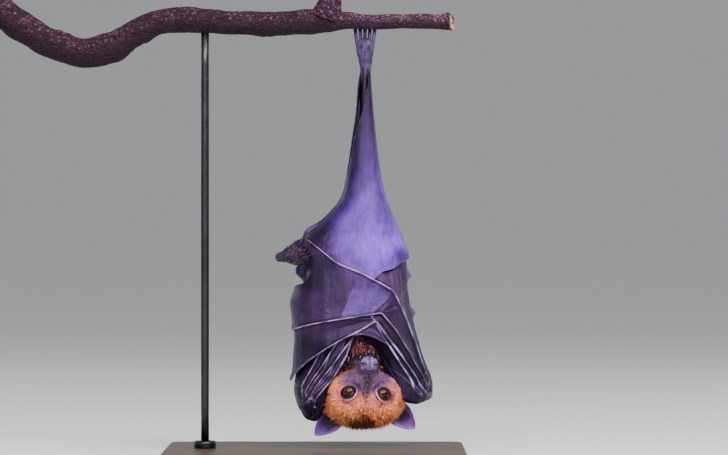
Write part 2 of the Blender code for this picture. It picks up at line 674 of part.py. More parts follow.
def right_fingers():
    """Tracks of the right wing's fingers, each from its tip to the palm."""
    behind = [unrolled(*FINGER4_TIP, -1), unrolled(-66, 143, -1)]
    far = [unrolled(*FINGER3_TIP, -1), unrolled(-66, 92, -1)]
    five = front(FINGER5_TIP, FINGER5_MID, FINGER5_KNUCKLE), front((39.9, 143.2), (50.4, 116.8), PALM5)
    four = behind + front(FINGER4_MID, FINGER4_KNUCKLE), front((31, 130), (43, 110.5), PALM4)
    three = far + front(FINGER3_MID, FINGER3_BEND, FINGER3_KNUCKLE), front((33.5, 109.5), PALM3)
    tracks = {
        number: np.vstack((track(finger, BEYOND + 1), track(finger[-1:] + palm, WITHIN + 1)[1:]))
        for number, (finger, palm) in ((5, five), (4, four), (3, three))
    }
    tracks[2] = track(front(FINGER2_TIP, FINGER2_MID, PALM2), 7)
    return tracks


def level(along, down):
    return 0 * along * down


def between(name, top, bottom, lift, rows, free_edge=()):
    """A membrane between two tracks; free_edge gives unrolled places on its hem, from top to bottom."""
    left = straight(top[0], bottom[0], rows)
    if free_edge:
        hem = np.column_stack((angle_at(np.array(free_edge)[:, 0]), np.array(free_edge)[:, 1]))
        left = even(np.vstack((top[:1], hem, bottom[:1])), rows)
    panel(name, top, bottom, left, straight(top[-1], bottom[-1], rows), lift)


def make_right_wing():
    clear = FINGER_R + GAP
    fingers = right_fingers()
    radii = {5: (0.9, 1.3, 1.7, 1.7), 4: (0.9, 1.4, 1.7, 1.7), 3: (0.9, 1.4, 1.7, 1.7), 2: (0.9, 1.2)}
    for number, line in fingers.items():
        bone(f"wing_right_finger_{number}", line, -MEMBRANE / 2, radii[number])

    # membranes between the fingers
    trailing = front((-53.3, 205.5), (-52, 196.5), (-54.5, 187), (-60, 177.5)) + [unrolled(-64, 169, -1)]
    between("wing_right_membrane_5_4", beside(fingers[5], -clear - 0.3), beside(fingers[4], clear + 0.4), level, 6, trailing)
    hem = [unrolled(-52, 148, -1), unrolled(-50, 132, -1)]
    between("wing_right_membrane_4_3", beside(fingers[4], -clear), beside(fingers[3], clear + 0.4), level, 4, hem)
    high = beside(fingers[3], -clear)[-10:]
    arch = front((-15.5, 120.2), (-9, 124.2), ARCH_TOP, (8.3, 124.4), FINGER2_TIP, FINGER2_MID, PALM2)
    low = beside(track(arch, 10), 1.7)
    between("wing_right_membrane_3_2", high, low, level, 3)

    # the sheet from the ankle to the fifth finger, round the right side to the back
    hem = front((18, 189.5), (26, 191), (35, 198), ELBOW_CORNER) + [unrolled(36, 206, 1), unrolled(18, 196, 1)]
    bottom = np.vstack((beside(fingers[5], clear)[: BEYOND - 2], track(hem, 8)))
    top = track([(0.6, 385), (0.9, 388), (1.3, 389), (1.75, 386)], len(bottom))
    free_edge = [(0.35, 372)] + front((-4.6, 341), (-11.8, 316), (-18, 280), (-23, 262.5), (-31.8, 250.2), (-41, 240))
    left = even(np.vstack((top[:1], track(free_edge, 12), bottom[:1])), 11)
    back_edge = [(1.72, 330), (1.68, 270), unrolled(22, 225, 1)]
    right = even(np.vstack((top[-1:], track(back_edge, 8), bottom[-1:])), 11)
    panel("wing_right_plagiopatagium", top, bottom, left, right, level)

    # skin of the folded arm
    inner = np.vstack((track(front((8, 199), (17, 182)), 3), beside(fingers[5], clear + 0.4)[BEYOND - 2 :]))
    outer = even(np.array([(math.radians(a), z) for a, z in ((86, 200), (87, 157), (87, 130), (86, 94))]), len(inner))
    tuck = np.where(np.arange(len(inner)) < 2, -3.4, -0.3)[None, :]
    between("wing_right_arm_web", inner, outer, lambda along, down: tuck * (1 - 0.5 * down), 5)
    back_web("wing_right_propatagium", FOREARM_RIGHT, UPPER_ARM_RIGHT)
    make_arm("right", FOREARM_RIGHT, UPPER_ARM_RIGHT, WRIST_RIGHT, THUMB_RIGHT)


def make_arm(side, forearm, upper_arm, wrist, thumb):
    arm(f"wing_{side}_forearm", forearm, "bare_skin", 10)
    arm(f"wing_{side}_upper_arm", upper_arm, "fur_dark", 7)
    arm(f"wing_{side}_wrist", wrist, "bare_skin", 6)
    arm(f"wing_{side}_thumb", thumb, "bare_skin", 6)


def back_web(name, forearm, upper_arm):
    """The skin stretched level between the forearm and the upper arm, clear of both."""
    (fore, fore_r), (upper, upper_r) = arm_line(forearm, 60), arm_line(upper_arm, 60)
    ends = []
    for z in np.linspace(upper[-1, 2] - 2, upper[0, 2] + 1, 8):
        i, j = np.argmin(np.abs(fore[:, 2] - z)), np.argmin(np.abs(upper[:, 2] - z))
        way = (upper[j] - fore[i]) / np.linalg.norm(upper[j] - fore[i])
        ends.append((fore[i] + way * (fore_r[i] + 1.0), upper[j] - way * (upper_r[j] + 1.0)))
    a, b = np.array(ends).transpose(1, 0, 2)
    rows = np.stack((a, (a + b) / 2, b))
    out = np.cross(b - a, np.gradient(a, axis=0))
    out *= (np.sign(out[:, 1]) * MEMBRANE / 2 / np.linalg.norm(out, axis=1))[:, None]
    slab(name, rows + out, rows - out, "wing_skin")


def left_fingers():
    """Tracks of the left wing's fingers, each from its far end on the right side to the palm."""
    end5, end4 = (
        (2 - math.sin(math.radians(angle)) ** (2 / WRAP_POWER), z) for angle, z in (LEFT_END5, LEFT_END4)
    )
    return {
        5: track([end5] + front((24, 196), (2, 188), LEFT_KNUCKLE5, LEFT_PALM5), 20),
        4: track([end4] + front((30, 158), LEFT_KNUCKLE4, LEFT_PALM4), 20),
        3: track(front(LEFT_END3, (18, 132), LEFT_KNUCKLE3, LEFT_PALM3), 20),
        2: track(front(LEFT_TIP2, LEFT_PALM2), 6),
    }


def make_left_wing():
    clear = FINGER_R + GAP
    fingers = left_fingers()
    radii = {5: (1.3, 1.3, 1.7, 1.7), 4: (1.3, 1.3, 1.7, 1.7), 3: (1.0, 1.3, 1.7, 1.7), 2: (0.9, 1.3)}
    for number, line in fingers.items():
        out = smooth((91, 99), (0.0, 11.0), np.degrees(line[:, 0])) if number in (4, 5) else 0.0
        bone(f"wing_left_finger_{number}", line, left_lift(line[:, 1]) - MEMBRANE / 2 + out, radii[number])

    def under_right(name, top, bottom, rows, out=None):
        down = np.linspace(0, 1, rows)[:, None]
        angle = (1 - down) * top[None, :, 0] + down * bottom[None, :, 0]
        height = (1 - down) * top[None, :, 1] + down * bottom[None, :, 1]
        lift = left_lift(height) if out is None else out(np.degrees(angle), height)
        between(name, top, bottom, lambda along, down: lift, rows)

    under_right("wing_left_membrane_5_4", beside(fingers[5], clear)[4:], beside(fingers[4], -clear)[4:], 3)
    under_right("wing_left_membrane_4_3", beside(fingers[4], clear)[4:], beside(fingers[3], -clear)[4:], 3)
    under_right("wing_left_membrane_3_2", beside(fingers[3], clear)[-7:], even(beside(fingers[2], -clear), 7), 3)

    # the sheet from the ankle, round the left side to the back, above the left knee
    top = track([(-1.7, 370), (-1.0, 374), (-0.2, 374), (0.5, 366)], 12)
    hem = [unrolled(-24, 232, -1), unrolled(-46, 230, -1)] + front((-48, 230), (-30, 214), (-6, 206), (14, 206))
    under_right("wing_left_plagiopatagium", top, track(hem, 12), 8, left_sheet_lift)

    # skin of the folded arm
    inner = np.vstack((track(front((-36, 192), (-34, 172)), 4), beside(fingers[5], -clear)[13:]))
    outer = track([unrolled(-66.5, 193, -1), (-1.0, 176), (-1.0, 140), (-1.0, 100), (-1.0, 80)], len(inner))
    under_right("wing_left_arm_web", inner, outer, 5, left_web_lift)
    back_web("wing_left_propatagium", FOREARM_LEFT, UPPER_ARM_LEFT)
    make_arm("left", FOREARM_LEFT, UPPER_ARM_LEFT, WRIST_LEFT, THUMB_LEFT)


def left_sheet_lift(angle, z):
    """Under the right sheet in front, out to the wrap where the right sheet leaves the side and back bare."""
    base = left_lift(z)
    bare_back = smooth((-112, -96), (1.0, 0.0), angle)
    bare_top = smooth((-72, -45), (1.0, 0.0), angle) * smooth((322, 345), (0.0, 1.0), z)
    return base * (1 - np.maximum(bare_back, bare_top))


def left_web_lift(angle, z):
    """Under the right wing, but out to the wrap above the right wing's hem on the left side."""
    bare = smooth((-84, -68), (1.0, 0.0), angle) * smooth((177, 188), (0.0, 1.0), z)
    return left_lift(z) * (1 - bare)


# ---------------------------------------------------------------- build


def main():
    for old in list(bpy.data.objects):
        bpy.data.objects.remove(old)
    rod_top = make_stand()
    make_branch(rod_top)
    make_trunk()
    make_head_parts()
    make_legs()
    make_right_wing()
    make_left_wing()


main()
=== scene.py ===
"""Looks of a fruit bat that hangs by one foot from a cut branch, wrapped in its wings, on a display stand.

Surfaces are worked out in millimetres with numpy. X is counted from the hanging leg and grows to the right
of the view, the bat faces -Y, and Z is the height above the floor. The wings lie on one closed form, the
wrap: a place on it is an angle round the body (0 in front, positive to the right), a height and a lift.
"""

import logging
import math
from dataclasses import dataclass, field
from enum import Enum
from typing import Callable, Sequence

import bmesh
import bpy
import numpy as np
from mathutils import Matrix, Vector


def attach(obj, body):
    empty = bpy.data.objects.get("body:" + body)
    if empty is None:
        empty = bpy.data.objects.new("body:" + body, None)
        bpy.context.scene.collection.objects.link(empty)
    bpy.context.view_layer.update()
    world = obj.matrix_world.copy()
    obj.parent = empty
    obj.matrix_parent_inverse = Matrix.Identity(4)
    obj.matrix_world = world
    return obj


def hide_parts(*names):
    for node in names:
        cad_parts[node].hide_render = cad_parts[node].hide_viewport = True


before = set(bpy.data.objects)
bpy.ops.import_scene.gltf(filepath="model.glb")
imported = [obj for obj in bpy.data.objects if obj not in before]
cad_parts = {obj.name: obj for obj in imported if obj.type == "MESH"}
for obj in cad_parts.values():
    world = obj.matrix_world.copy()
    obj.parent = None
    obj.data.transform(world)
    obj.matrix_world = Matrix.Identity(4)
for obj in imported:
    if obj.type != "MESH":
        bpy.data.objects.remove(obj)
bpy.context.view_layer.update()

Array = np.ndarray
Socket = bpy.types.NodeSocket
Colour = tuple[float, float, float]
Point = tuple[float, float, float]
# A place of X or angle and height, and places along a limb, each with its radius last
Place = tuple[float, float]
Stations = Sequence[tuple[float, float, float, float]]

logging.basicConfig(level=logging.INFO, format="%(message)s")
LOG = logging.getLogger("bat")

MM = 0.001
LEG_FROM_CENTRE = 50.0
SEED = 7
FULL_TURN = 2 * math.pi

# ---------------------------------------------------------------- the wrap

# Height, then the reach to the left, to the right, to the front and to the back
WRAP = np.array(
    (
        (34, -58, 56, 34, 28), (60, -70, 65, 43, 33), (78, -74.5, 66.5, 47, 36), (101, -73.5, 59.5, 48, 38),
        (130, -72.5, 50.5, 46, 39), (157, -74.5, 45, 43, 38), (175, -70, 42, 41, 36), (204, -68, 41, 36, 33),
        (223, -61.5, 37, 31, 29), (240, -42.5, 30, 25.5, 24), (260, -25, 22.5, 19, 18),
        (280, -18.5, 17, 14.5, 14.5), (320, -12.5, 11.5, 10.5, 11), (360, -7.5, 8, 7.5, 8),
        (392, -5.5, 6, 6.5, 6),
    )
)
WRAP_POWER = 2.2


def smooth(knots: Sequence[float], values: Sequence[float], at: Array) -> Array:
    """Monotone cubic through rising knots, held level outside them.

    Args:
        knots: Rising places.
        values: The value at each place.
        at: Where to read the curve.

    Returns:
        The curve's values: v_i (1+2t)(1-t)^2 + v_j t^2 (3-2t) + h t (1-t) (m_i (1-t) - m_j t).
    """
    knots, values = np.asarray(knots, float), np.asarray(values, float)
    step = np.diff(knots)
    rise = np.diff(values) / step
    slope = np.zeros_like(values)
    total = np.where(rise[:-1] * rise[1:] > 0, rise[:-1] + rise[1:], 1.0)
    slope[1:-1] = np.where(rise[:-1] * rise[1:] > 0, 2 * rise[:-1] * rise[1:] / total, 0.0)
    at = np.clip(np.asarray(at, float), knots[0], knots[-1])
    i = np.clip(np.searchsorted(knots, at, "right") - 1, 0, len(step) - 1)
    t = (at - knots[i]) / step[i]
    return (
        values[i] * (1 + 2 * t) * (1 - t) ** 2
        + values[i + 1] * t**2 * (3 - 2 * t)
        + step[i] * t * (1 - t) * (slope[i] * (1 - t) - slope[i + 1] * t)
    )


def step_up(low: float, high: float, at: Array) -> Array:
    """Smoothstep t^2 (3 - 2t), from 0 at low to 1 at high."""
    t = np.clip((np.asarray(at, float) - low) / (high - low), 0, 1)
    return t * t * (3 - 2 * t)


def hump(distance: Array, width: float) -> Array:
    """Gaussian exp(-(distance / width)^2)."""
    return np.exp(-((np.asarray(distance, float) / width) ** 2))


def circle(count: int) -> Array:
    """Angles at equal steps round a full turn."""
    return np.linspace(0, FULL_TURN, count, endpoint=False)


def shares(count: int) -> Array:
    """A column of equal steps from 0 to 1."""
    return np.linspace(0, 1, count)[:, None]


def unit(vectors: Array) -> Array:
    """Vectors of length 1 the same way."""
    return vectors / np.linalg.norm(vectors, axis=-1)[..., None]


def ripple(points: Array, size: float, seed: int, waves: int = 14) -> Array:
    """Smooth noise of about unit height: a sum of sines with seeded directions.

    Args:
        points: Places, in millimetres.
        size: Rough size of a lump, in millimetres.
        seed: Which noise.
        waves: How many sines are summed.

    Returns:
        One value for each place, mostly between -1 and 1.
    """
    rng = np.random.default_rng(seed)
    ways = rng.normal(size=(waves, points.shape[-1]))
    ways *= (rng.uniform(0.6, 1.6, waves) * 2 * math.pi / size / 2 / np.linalg.norm(ways, axis=1))[:, None]
    phases = rng.uniform(0, FULL_TURN, waves)
    total = np.zeros(points.shape[:-1])
    for way, phase in zip(ways, phases):
        total += np.sin(points @ way + phase)
    return total / math.sqrt(waves / 2) * 0.7


def wrap_reach(z: Array) -> list[Array]:
    """Left, right, front and back reach of the wrap at these heights."""
    return [smooth(WRAP[:, 0], WRAP[:, k], z) for k in range(1, 5)]


def power(value: Array, exponent: float) -> Array:
    """A power that keeps the sign: sign(v) |v|^e."""
    return np.sign(value) * np.abs(value) ** exponent


def wrap_point(angle: Array, z: Array, lift: Array) -> Array:
    """A place on the wrap, whose level sections are super-ellipses of power p = 2.2.

    x = half |sin a|^(2/p), y = -depth |cos a|^(2/p), moved out along the section's normal by lift.

    Args:
        angle: Angle round the body, in radians.
        z: Height.
        lift: How far out from the wrap.

    Returns:
        Points, in millimetres.
    """
    angle, z, lift = np.broadcast_arrays(np.asarray(angle, float), z, lift)
    left, right, front_reach, back = wrap_reach(z)
    half = (right - left) / 2
    depth = np.where(np.cos(angle) > 0, front_reach, back)
    across, forward = (power(way(angle), 2 / WRAP_POWER) for way in (np.sin, np.cos))
    out_x = power(across, WRAP_POWER - 1) / half
    out_y = -power(forward, WRAP_POWER - 1) / depth
    size = np.hypot(out_x, out_y)
    x = (left + right) / 2 + half * across + lift * out_x / size
    return np.stack((x, -depth * forward + lift * out_y / size, z), -1)


def on_wrap(place: Array, lift: Array | float = 0) -> Array:
    """Points for an array of (angle, height), moved out by lift."""
    return wrap_point(place[..., 0], place[..., 1], lift)


def unrolled(x: float, z: float, behind: int = 0) -> Place:
    """A place seen from the front as (share of the half width, height).

    Args:
        x: Its X as seen from the front.
        z: Its height.
        behind: 0 for a place in front, or the sign of the side round which it lies behind.

    Returns:
        The share, which runs on past 1 behind the body, and the height.
    """
    left, right, _, _ = wrap_reach(z)
    share = (x - (left + right) / 2) / ((right - left) / 2)
    return (float(behind * (2 - abs(share))) if behind else float(share), z)


def front(*places: Place) -> list[Place]:
    """Several places seen from the front."""
    return [unrolled(*place) for place in places]


def angle_at(share: Array) -> Array:
    """The angle of an unrolled place: past 1 it has gone round the side and comes back in behind."""
    share = np.asarray(share, float)
    inner = np.where(np.abs(share) > 1, 2 - np.abs(share), np.abs(share))
    turn = np.arcsin(np.clip(inner, 0, 1) ** (WRAP_POWER / 2))
    return np.sign(share) * np.where(np.abs(share) > 1, math.pi - turn, turn)


def girth(z: Array) -> Array:
    """Mean radius of the wrap."""
    left, right, front_reach, back = wrap_reach(z)
    return ((right - left) + front_reach + back) / 4


def lengths(line: Array) -> Array:
    """Lengths of the steps of a track of (angle, height) along the wrap."""
    return np.linalg.norm(np.diff(on_wrap(line), axis=0), axis=1)


def read_at(at: Array, run: Array, table: Array) -> Array:
    """Each column of a table that follows run, read at other places of it."""
    return np.column_stack([np.interp(at, run, column) for column in table.T])


def even(line: Array, count: int) -> Array:
    """A dense track of (angle, height) resampled at equal steps along the wrap."""
    run = np.concatenate(([0], np.cumsum(lengths(line))))
    return read_at(np.linspace(0, run[-1], count), run, line)


def track(places: Sequence[Place], count: int) -> Array:
    """Straight stretches between unrolled places, which keep every corner.

    Args:
        places: Unrolled places.
        count: How many places the track gets, shared out by the length of each stretch.

    Returns:
        The track as rows of (angle, height).
    """
    line = np.array(places, float)
    line = np.column_stack((angle_at(line[:, 0]), line[:, 1]))
    along = shares(24)
    runs = [(1 - along) * a + along * b for a, b in zip(line[:-1], line[1:])]
    length = np.array([lengths(run).sum() for run in runs])
    steps = np.ones(len(length), int)
    while steps.sum() < count - 1:
        steps[np.argmax(length / steps)] += 1
    return np.concatenate([line[:1]] + [even(run, number + 1)[1:] for run, number in zip(runs, steps)])


def eased(line: Array, times: int) -> Array:
    """A track with its corners rounded by repeated (1 2 1)/4 averaging, its ends kept."""
    line = line.copy()
    for _ in range(times):
        line[1:-1] = (line[:-2] + 2 * line[1:-1] + line[2:]) / 4
    return line


# ---------------------------------------------------------------- meshes


def grid_faces(rows: int, columns: int, closed: bool = False, start: int = 0) -> Array:
    """Quads of a grid of points.

    Args:
        rows: Rows of points.
        columns: Points in a row.
        closed: Whether the last column joins the first.
        start: Number of the grid's first point.

    Returns:
        Four corners for each quad.
    """
    r = np.arange(rows - 1)[:, None]
    c = np.arange(columns if closed else columns - 1)[None, :]
    d = (c + 1) % columns
    faces = np.stack((r * columns + c, r * columns + d, (r + 1) * columns + d, (r + 1) * columns + c), -1)
    return faces.reshape(-1, 4) + start


def linked(name: str, data: bpy.types.ID) -> bpy.types.Object:
    """A new object of the scene with this data."""
    made = bpy.data.objects.new(name, data)
    bpy.context.scene.collection.objects.link(made)
    return made


def piece(name: str, points: Array, faces: Sequence[Array], tint: Array | None = None) -> bpy.types.Object:
    """One mesh object at the origin, from points in millimetres.

    Args:
        name: The object's name.
        points: Places, counted from the hanging leg.
        faces: Arrays of polygons, each array with one number of corners.
        tint: Linear colour of each point, kept as the attribute Tint.

    Returns:
        The linked object, shaded smooth.
    """
    points = (np.asarray(points, float).reshape(-1, 3) + (LEG_FROM_CENTRE, 0, 0)) * MM
    mesh = bpy.data.meshes.new(name)
    loops = np.concatenate([np.asarray(f).ravel() for f in faces]).astype(np.int32)
    totals = np.concatenate([np.full(len(f), f.shape[1]) for f in faces])
    mesh.vertices.add(len(points))
    mesh.vertices.foreach_set("co", points.astype(np.float32).ravel())
    mesh.loops.add(len(loops))
    mesh.loops.foreach_set("vertex_index", loops)
    mesh.polygons.add(len(totals))
    mesh.polygons.foreach_set("loop_start", np.concatenate(([0], np.cumsum(totals)[:-1])).astype(np.int32))
    mesh.update(calc_edges=True)
    mesh.shade_smooth()
    if tint is not None:
        paint_points(mesh, tint)
    return linked(name, mesh)


def paint_points(mesh: bpy.types.Mesh, tint: Array) -> None:
    """Keeps a linear colour for each point as the attribute Tint."""
    layer = mesh.color_attributes.get("Tint") or mesh.color_attributes.new("Tint", "FLOAT_COLOR", "POINT")
    flat = np.ones((len(mesh.vertices), 4), np.float32)
    flat[:, :3] = np.clip(tint, 0, 1)
    layer.data.foreach_set("color", flat.ravel())


def places_of(mesh: bpy.types.Mesh) -> Array:
    """A mesh's points in millimetres, counted from the hanging leg."""
    co = np.empty(len(mesh.vertices) * 3, np.float32)
    mesh.vertices.foreach_get("co", co)
    return co.reshape(-1, 3).astype(float) / MM - (LEG_FROM_CENTRE, 0, 0)


def cleaned(made: bpy.types.Object, merge: float) -> bpy.types.Object:
    """The object, its points nearer than merge made one and its faces turned outwards.

    Args:
        made: The object to clean.
        merge: How near to each other points are joined, in metres.

    Returns:
        The same object.
    """
    work = bmesh.new()
    work.from_mesh(made.data)
    bmesh.ops.remove_doubles(work, verts=work.verts, dist=merge)
    bmesh.ops.recalc_face_normals(work, faces=work.faces)
    work.to_mesh(made.data)
    work.free()
    return made


def applied(made: bpy.types.Object) -> bpy.types.Object:
    """The object, its modifiers turned into its mesh.

    Args:
        made: The object.

    Returns:
        The same object, with its modifiers in its mesh.
    """
    bpy.context.view_layer.update()
    shape = bpy.data.meshes.new_from_object(made.evaluated_get(bpy.context.evaluated_depsgraph_get()))
    made.modifiers.clear()
    made.data = shape
    made.data.name = made.name
    return made


def joined(made: bpy.types.Object, other: bpy.types.Object) -> bpy.types.Object:
    """The first closed mesh as the union of both; the other one is used up.

    Args:
        made: The object that stays.
        other: The one that goes into it.

    Returns:
        The one that stays.
    """
    change = made.modifiers.new("Join", "BOOLEAN")
    change.operation, change.solver, change.object = "UNION", "EXACT", other
    applied(made)
    bpy.data.objects.remove(other)
    return made


def rings_along(
    line: Array, radii: Array, sides: int, squash: float = 1.0, thin_way: Point = (0, 1, 0.02)
) -> Array:
    """Rings carried along a line: p + r (cos t w + squash sin t n), with w and n square to the line.

    Args:
        line: Points of the axis.
        radii: Radius at each of them.
        sides: Points in a ring.
        squash: Height of a ring against its width.
        thin_way: About which way the squashed side faces.

    Returns:
        Points by ring and side.
    """
    line, radii = np.asarray(line, float), np.asarray(radii, float)
    ahead = unit(np.gradient(line, axis=0))
    thin = np.broadcast_to(np.asarray(thin_way, float), line.shape)
    thin = unit(thin - (thin * ahead).sum(1)[:, None] * ahead)
    wide = np.cross(ahead, thin)
    turn = circle(sides)[None, :, None]
    offset = np.cos(turn) * wide[:, None] + squash * np.sin(turn) * thin[:, None]
    return line[:, None] + radii[:, None, None] * offset


def lofted(rings: Array) -> tuple[Array, list[Array]]:
    """The points and faces of a closed skin over rings, drawn in to the middle of the first and the last.

    Args:
        rings: Rings of points, from one end to the other.

    Returns:
        The points, and the faces as quads and triangles.
    """
    rows, sides, _ = rings.shape
    points = np.vstack((rings.reshape(-1, 3), [rings[0].mean(0)], [rings[-1].mean(0)]))
    s = np.arange(sides)
    t = (s + 1) % sides
    first = np.column_stack((np.full(sides, rows * sides), t, s))
    last = np.column_stack((np.full(sides, rows * sides + 1), (rows - 1) * sides + s, (rows - 1) * sides + t))
    return points, [grid_faces(rows, sides, True), np.vstack((first, last))]


def read_stations(stations: Stations, steps: int) -> list[Array]:
    """Each column of a table of stations as a smooth curve of so many steps."""
    stations = np.array(stations, float)
    run, at = np.linspace(0, 1, len(stations)), np.linspace(0, 1, steps)
    return [smooth(run, column, at) for column in stations.T]


def limb_rings(stations: Stations, steps: int, sides: int, squash: float = 1.0) -> Array:
    """Rings through stations of X, Y, height and radius, with domed ends."""
    x, y, z, radii = read_stations(stations, steps)
    return domed(np.column_stack((x, y, z)), radii, sides, squash)


def domed(line: Array, radii: Array, sides: int, squash: float = 1.0) -> Array:
    """Rings along a line whose ends are rounded off like half balls, 0.8 of a radius long.

    Args:
        line: Points of the axis.
        radii: Radius at each of them.
        sides: Points in a ring.
        squash: Height of a ring against its width.

    Returns:
        Points by ring and side.
    """
    dome = np.radians((84, 68, 50, 32, 16))
    start, end = unit(line[0] - line[1]), unit(line[-1] - line[-2])
    head = [line[0] + start * radii[0] * 0.8 * math.sin(a) for a in dome]
    tail = [line[-1] + end * radii[-1] * 0.8 * math.sin(a) for a in dome[::-1]]
    size = np.concatenate((radii[0] * np.cos(dome), radii, radii[-1] * np.cos(dome[::-1])))
    return rings_along(np.vstack((head, line, tail)), size, sides, squash)


# ---------------------------------------------------------------- wing skins

# Linear colours of the wings
VIOLET: Colour = (0.150, 0.052, 0.480)
VIOLET_TOP: Colour = (0.078, 0.036, 0.125)
# Paints shade on the bright sheet's left side, and a rim of light along the left outline of the darker folds
VIOLET_DEEP: Colour = (0.042, 0.016, 0.078)
# Painted light: the lit patch on the stretched skin between the fifth and the fourth finger
LIT_PATCH: Colour = (0.098, 0.045, 0.240)
SLATE: Colour = (0.044, 0.020, 0.072)
# The dark tones of the lower folds: partly the skin's own dark colour, partly painted shade
DUSK: Colour = (0.009, 0.004, 0.010)
GLOOM: Colour = (0.026, 0.012, 0.040)
MAUVE: Colour = (0.052, 0.022, 0.078)
# Paints the highlight on the bone crests, the knuckle bumps and the wrists' knobs; it also tints the arm's
# pale threads
PALE_RIDGE: Colour = (0.440, 0.300, 0.600)
# Painted shade on the left wing's sheet up towards the ankle
UPPER_SHADE: Colour = (0.014, 0.006, 0.018)
ANKLE_BUMP: Colour = (0.30, 0.14, 0.40)

# The outer edge of the sheet (height, X), and the painted shade of the skin by height (height, share)
SHEET_MARGIN = (232, 240, 250, 262, 280, 316, 341, 392), (-47, -41, -31.8, -23, -18, -11.8, -4.6, -4.0)
SHADE_BY_HEIGHT = (
    (60, 110, 135, 152, 195, 216, 232, 250, 275, 300, 345, 392),
    (0.42, 0.48, 0.70, 0.60, 0.68, 0.72, 0.56, 0.49, 0.41, 0.36, 0.32, 0.25),
)
LINE_POINTS, LINE_BATCH = 320, 4000


def blend(first: Array, second: Colour, share: Array) -> Array:
    """A colour eased towards another by a share."""
    return first + (np.array(second) - first) * np.asarray(share)[..., None]


@dataclass(frozen=True)
class Finger:
    """A finger bone, or the cord of a hem, under the wing skin.

    Attributes:
        line: Its places (angle, height) on the wrap, from the tip.
        radii: Its radii at equal steps from the tip.
        pale: Strength of the highlight painted on the skin over it.
        groove: Strength of the shadow painted in the hollows beside it.
    """

    line: Array
    radii: tuple[float, ...]
    pale: float = 0.55
    groove: float = 0.0

    def under(self, points: Array) -> tuple[Array, Array]:
        """The distance from each point to the line, and the radius at the nearest place.

        Args:
            points: Places on the wrap, in millimetres.

        Returns:
            Distances and radii, in millimetres.
        """
        dense = read_at(np.linspace(0, 1, 1200), np.linspace(0, 1, len(self.line)), self.line)
        line = on_wrap(even(dense, LINE_POINTS))
        flat = points.reshape(-1, 3)
        near, far = np.empty(len(flat), int), np.empty(len(flat))
        for at in range(0, len(flat), LINE_BATCH):
            part = flat[at : at + LINE_BATCH]
            square = (part**2).sum(1)[:, None] - 2 * part @ line.T + (line**2).sum(1)[None]
            near[at : at + LINE_BATCH] = square.argmin(1)
            far[at : at + LINE_BATCH] = np.sqrt(np.maximum(square.min(1), 0))
        radius = np.interp(near / (LINE_POINTS - 1), np.linspace(0, 1, len(self.radii)), self.radii)
        return far.reshape(points.shape[:-1]), radius.reshape(points.shape[:-1])


def ridges(points: Array, fingers: Sequence[Finger]) -> tuple[Array, Array, Array]:
    """How the skin follows the fingers under it.

    The ridge over a bone of radius r, at a distance d, is
    0.95 r sqrt(1 - (d/1.3r)^2) + 0.35 r exp(-(d/2.4r)^2).

    Args:
        points: Places on the wrap, in millimetres.
        fingers: The bones.

    Returns:
        How far the skin stands out, the painted highlight over the bones, and the painted shadow beside them.
    """
    height, pale, dark = (np.zeros(points.shape[:-1]) for _ in range(3))
    for finger in fingers:
        d, r = finger.under(points)
        own = 0.95 * r * np.sqrt(np.clip(1 - (d / (1.3 * r)) ** 2, 0, 1)) + 0.35 * r * hump(d, 2.4 * r)
        height = np.maximum(height, own)
        pale = np.maximum(pale, finger.pale * hump(d, 0.5 * r))
        dark = np.maximum(dark, finger.groove * hump(d - 2.2 * r, 1.2 * r))
    # The painted highlight is broken up along its length
    pale = pale * np.clip(0.62 + 0.55 * ripple(points, 7, 33), 0.22, 1.0)
    return height, pale, dark * (1 - pale)


def creases(ground: Array) -> Array:
    """Low folds up the skin, with finer ones across."""
    return 0.22 * ripple(ground * (1, 1, 0.25), 9, 3) + 0.10 * ripple(ground, 3.5, 4)


def wing_shade(ground: Array) -> Array:
    """Painted shade of the wings' skin: darkest up at the ankle, along the outer edges and under the folds.

    Args:
        ground: Places on the wrap, in millimetres.

    Returns:
        Shares of the skin's full tone.
    """
    x, z = ground[..., 0], ground[..., 2]
    shade = smooth(*SHADE_BY_HEIGHT, z)
    margin = x - np.interp(z, *SHEET_MARGIN)
    shade = shade * (1 - 0.66 * (1 - step_up(2, 28, margin)) * step_up(202, 214, z))
    shade = shade * (1 - 0.62 * step_up(-4, 5, x - 34 - 0.235 * (184 - z)) * (1 - step_up(206, 216, z)))
    left_band = (1 - step_up(-35, -16, x)) * step_up(163, 176, z) * (1 - step_up(203, 209, z))
    shade = shade * (1 - 0.72 * left_band)
    return shade * (1 - 0.6 * hump(z - 114, 10) * (1 - step_up(-45, -25, x)))


def between(
    top: Array, bottom: Array, rows: int, left: Array | None = None, right: Array | None = None
) -> Array:
    """Places of a membrane between two tracks, its rows bunched at both: down = (1 - cos pi s) / 2.

    Args:
        top: Track of the upper edge.
        bottom: Track of the lower edge, with as many places.
        rows: Rows of places.
        left: Curve of the first edge from top to bottom, if it isn't straight.
        right: Curve of the last edge from top to bottom, if it isn't straight.

    Returns:
        A grid of (angle, height).
    """
    down = (1 - np.cos(np.linspace(0, math.pi, rows))) / 2
    along = np.linspace(0, 1, len(top))
    place = (1 - down)[:, None, None] * top[None] + down[:, None, None] * bottom[None]
    for curve, fade in ((left, (1 - along) ** 3), (right, along**3)):
        if curve is not None:
            at = read_at(down, np.linspace(0, 1, 400), even(curve, 400))
            bow = at - (1 - down)[:, None] * at[0] - down[:, None] * at[-1]
            place = place + fade[None, :, None] * bow[:, None]
    return place


def mixed(place: Array, base: Colour, *spots: tuple[Colour, Array]) -> Array:
    """A membrane's colours: a base eased towards other colours by their shares."""
    tint = np.zeros(place.shape[:2] + (3,)) + np.array(base)
    for colour, share in spots:
        tint = blend(tint, colour, np.broadcast_to(share, tint.shape[:2]))
    return tint


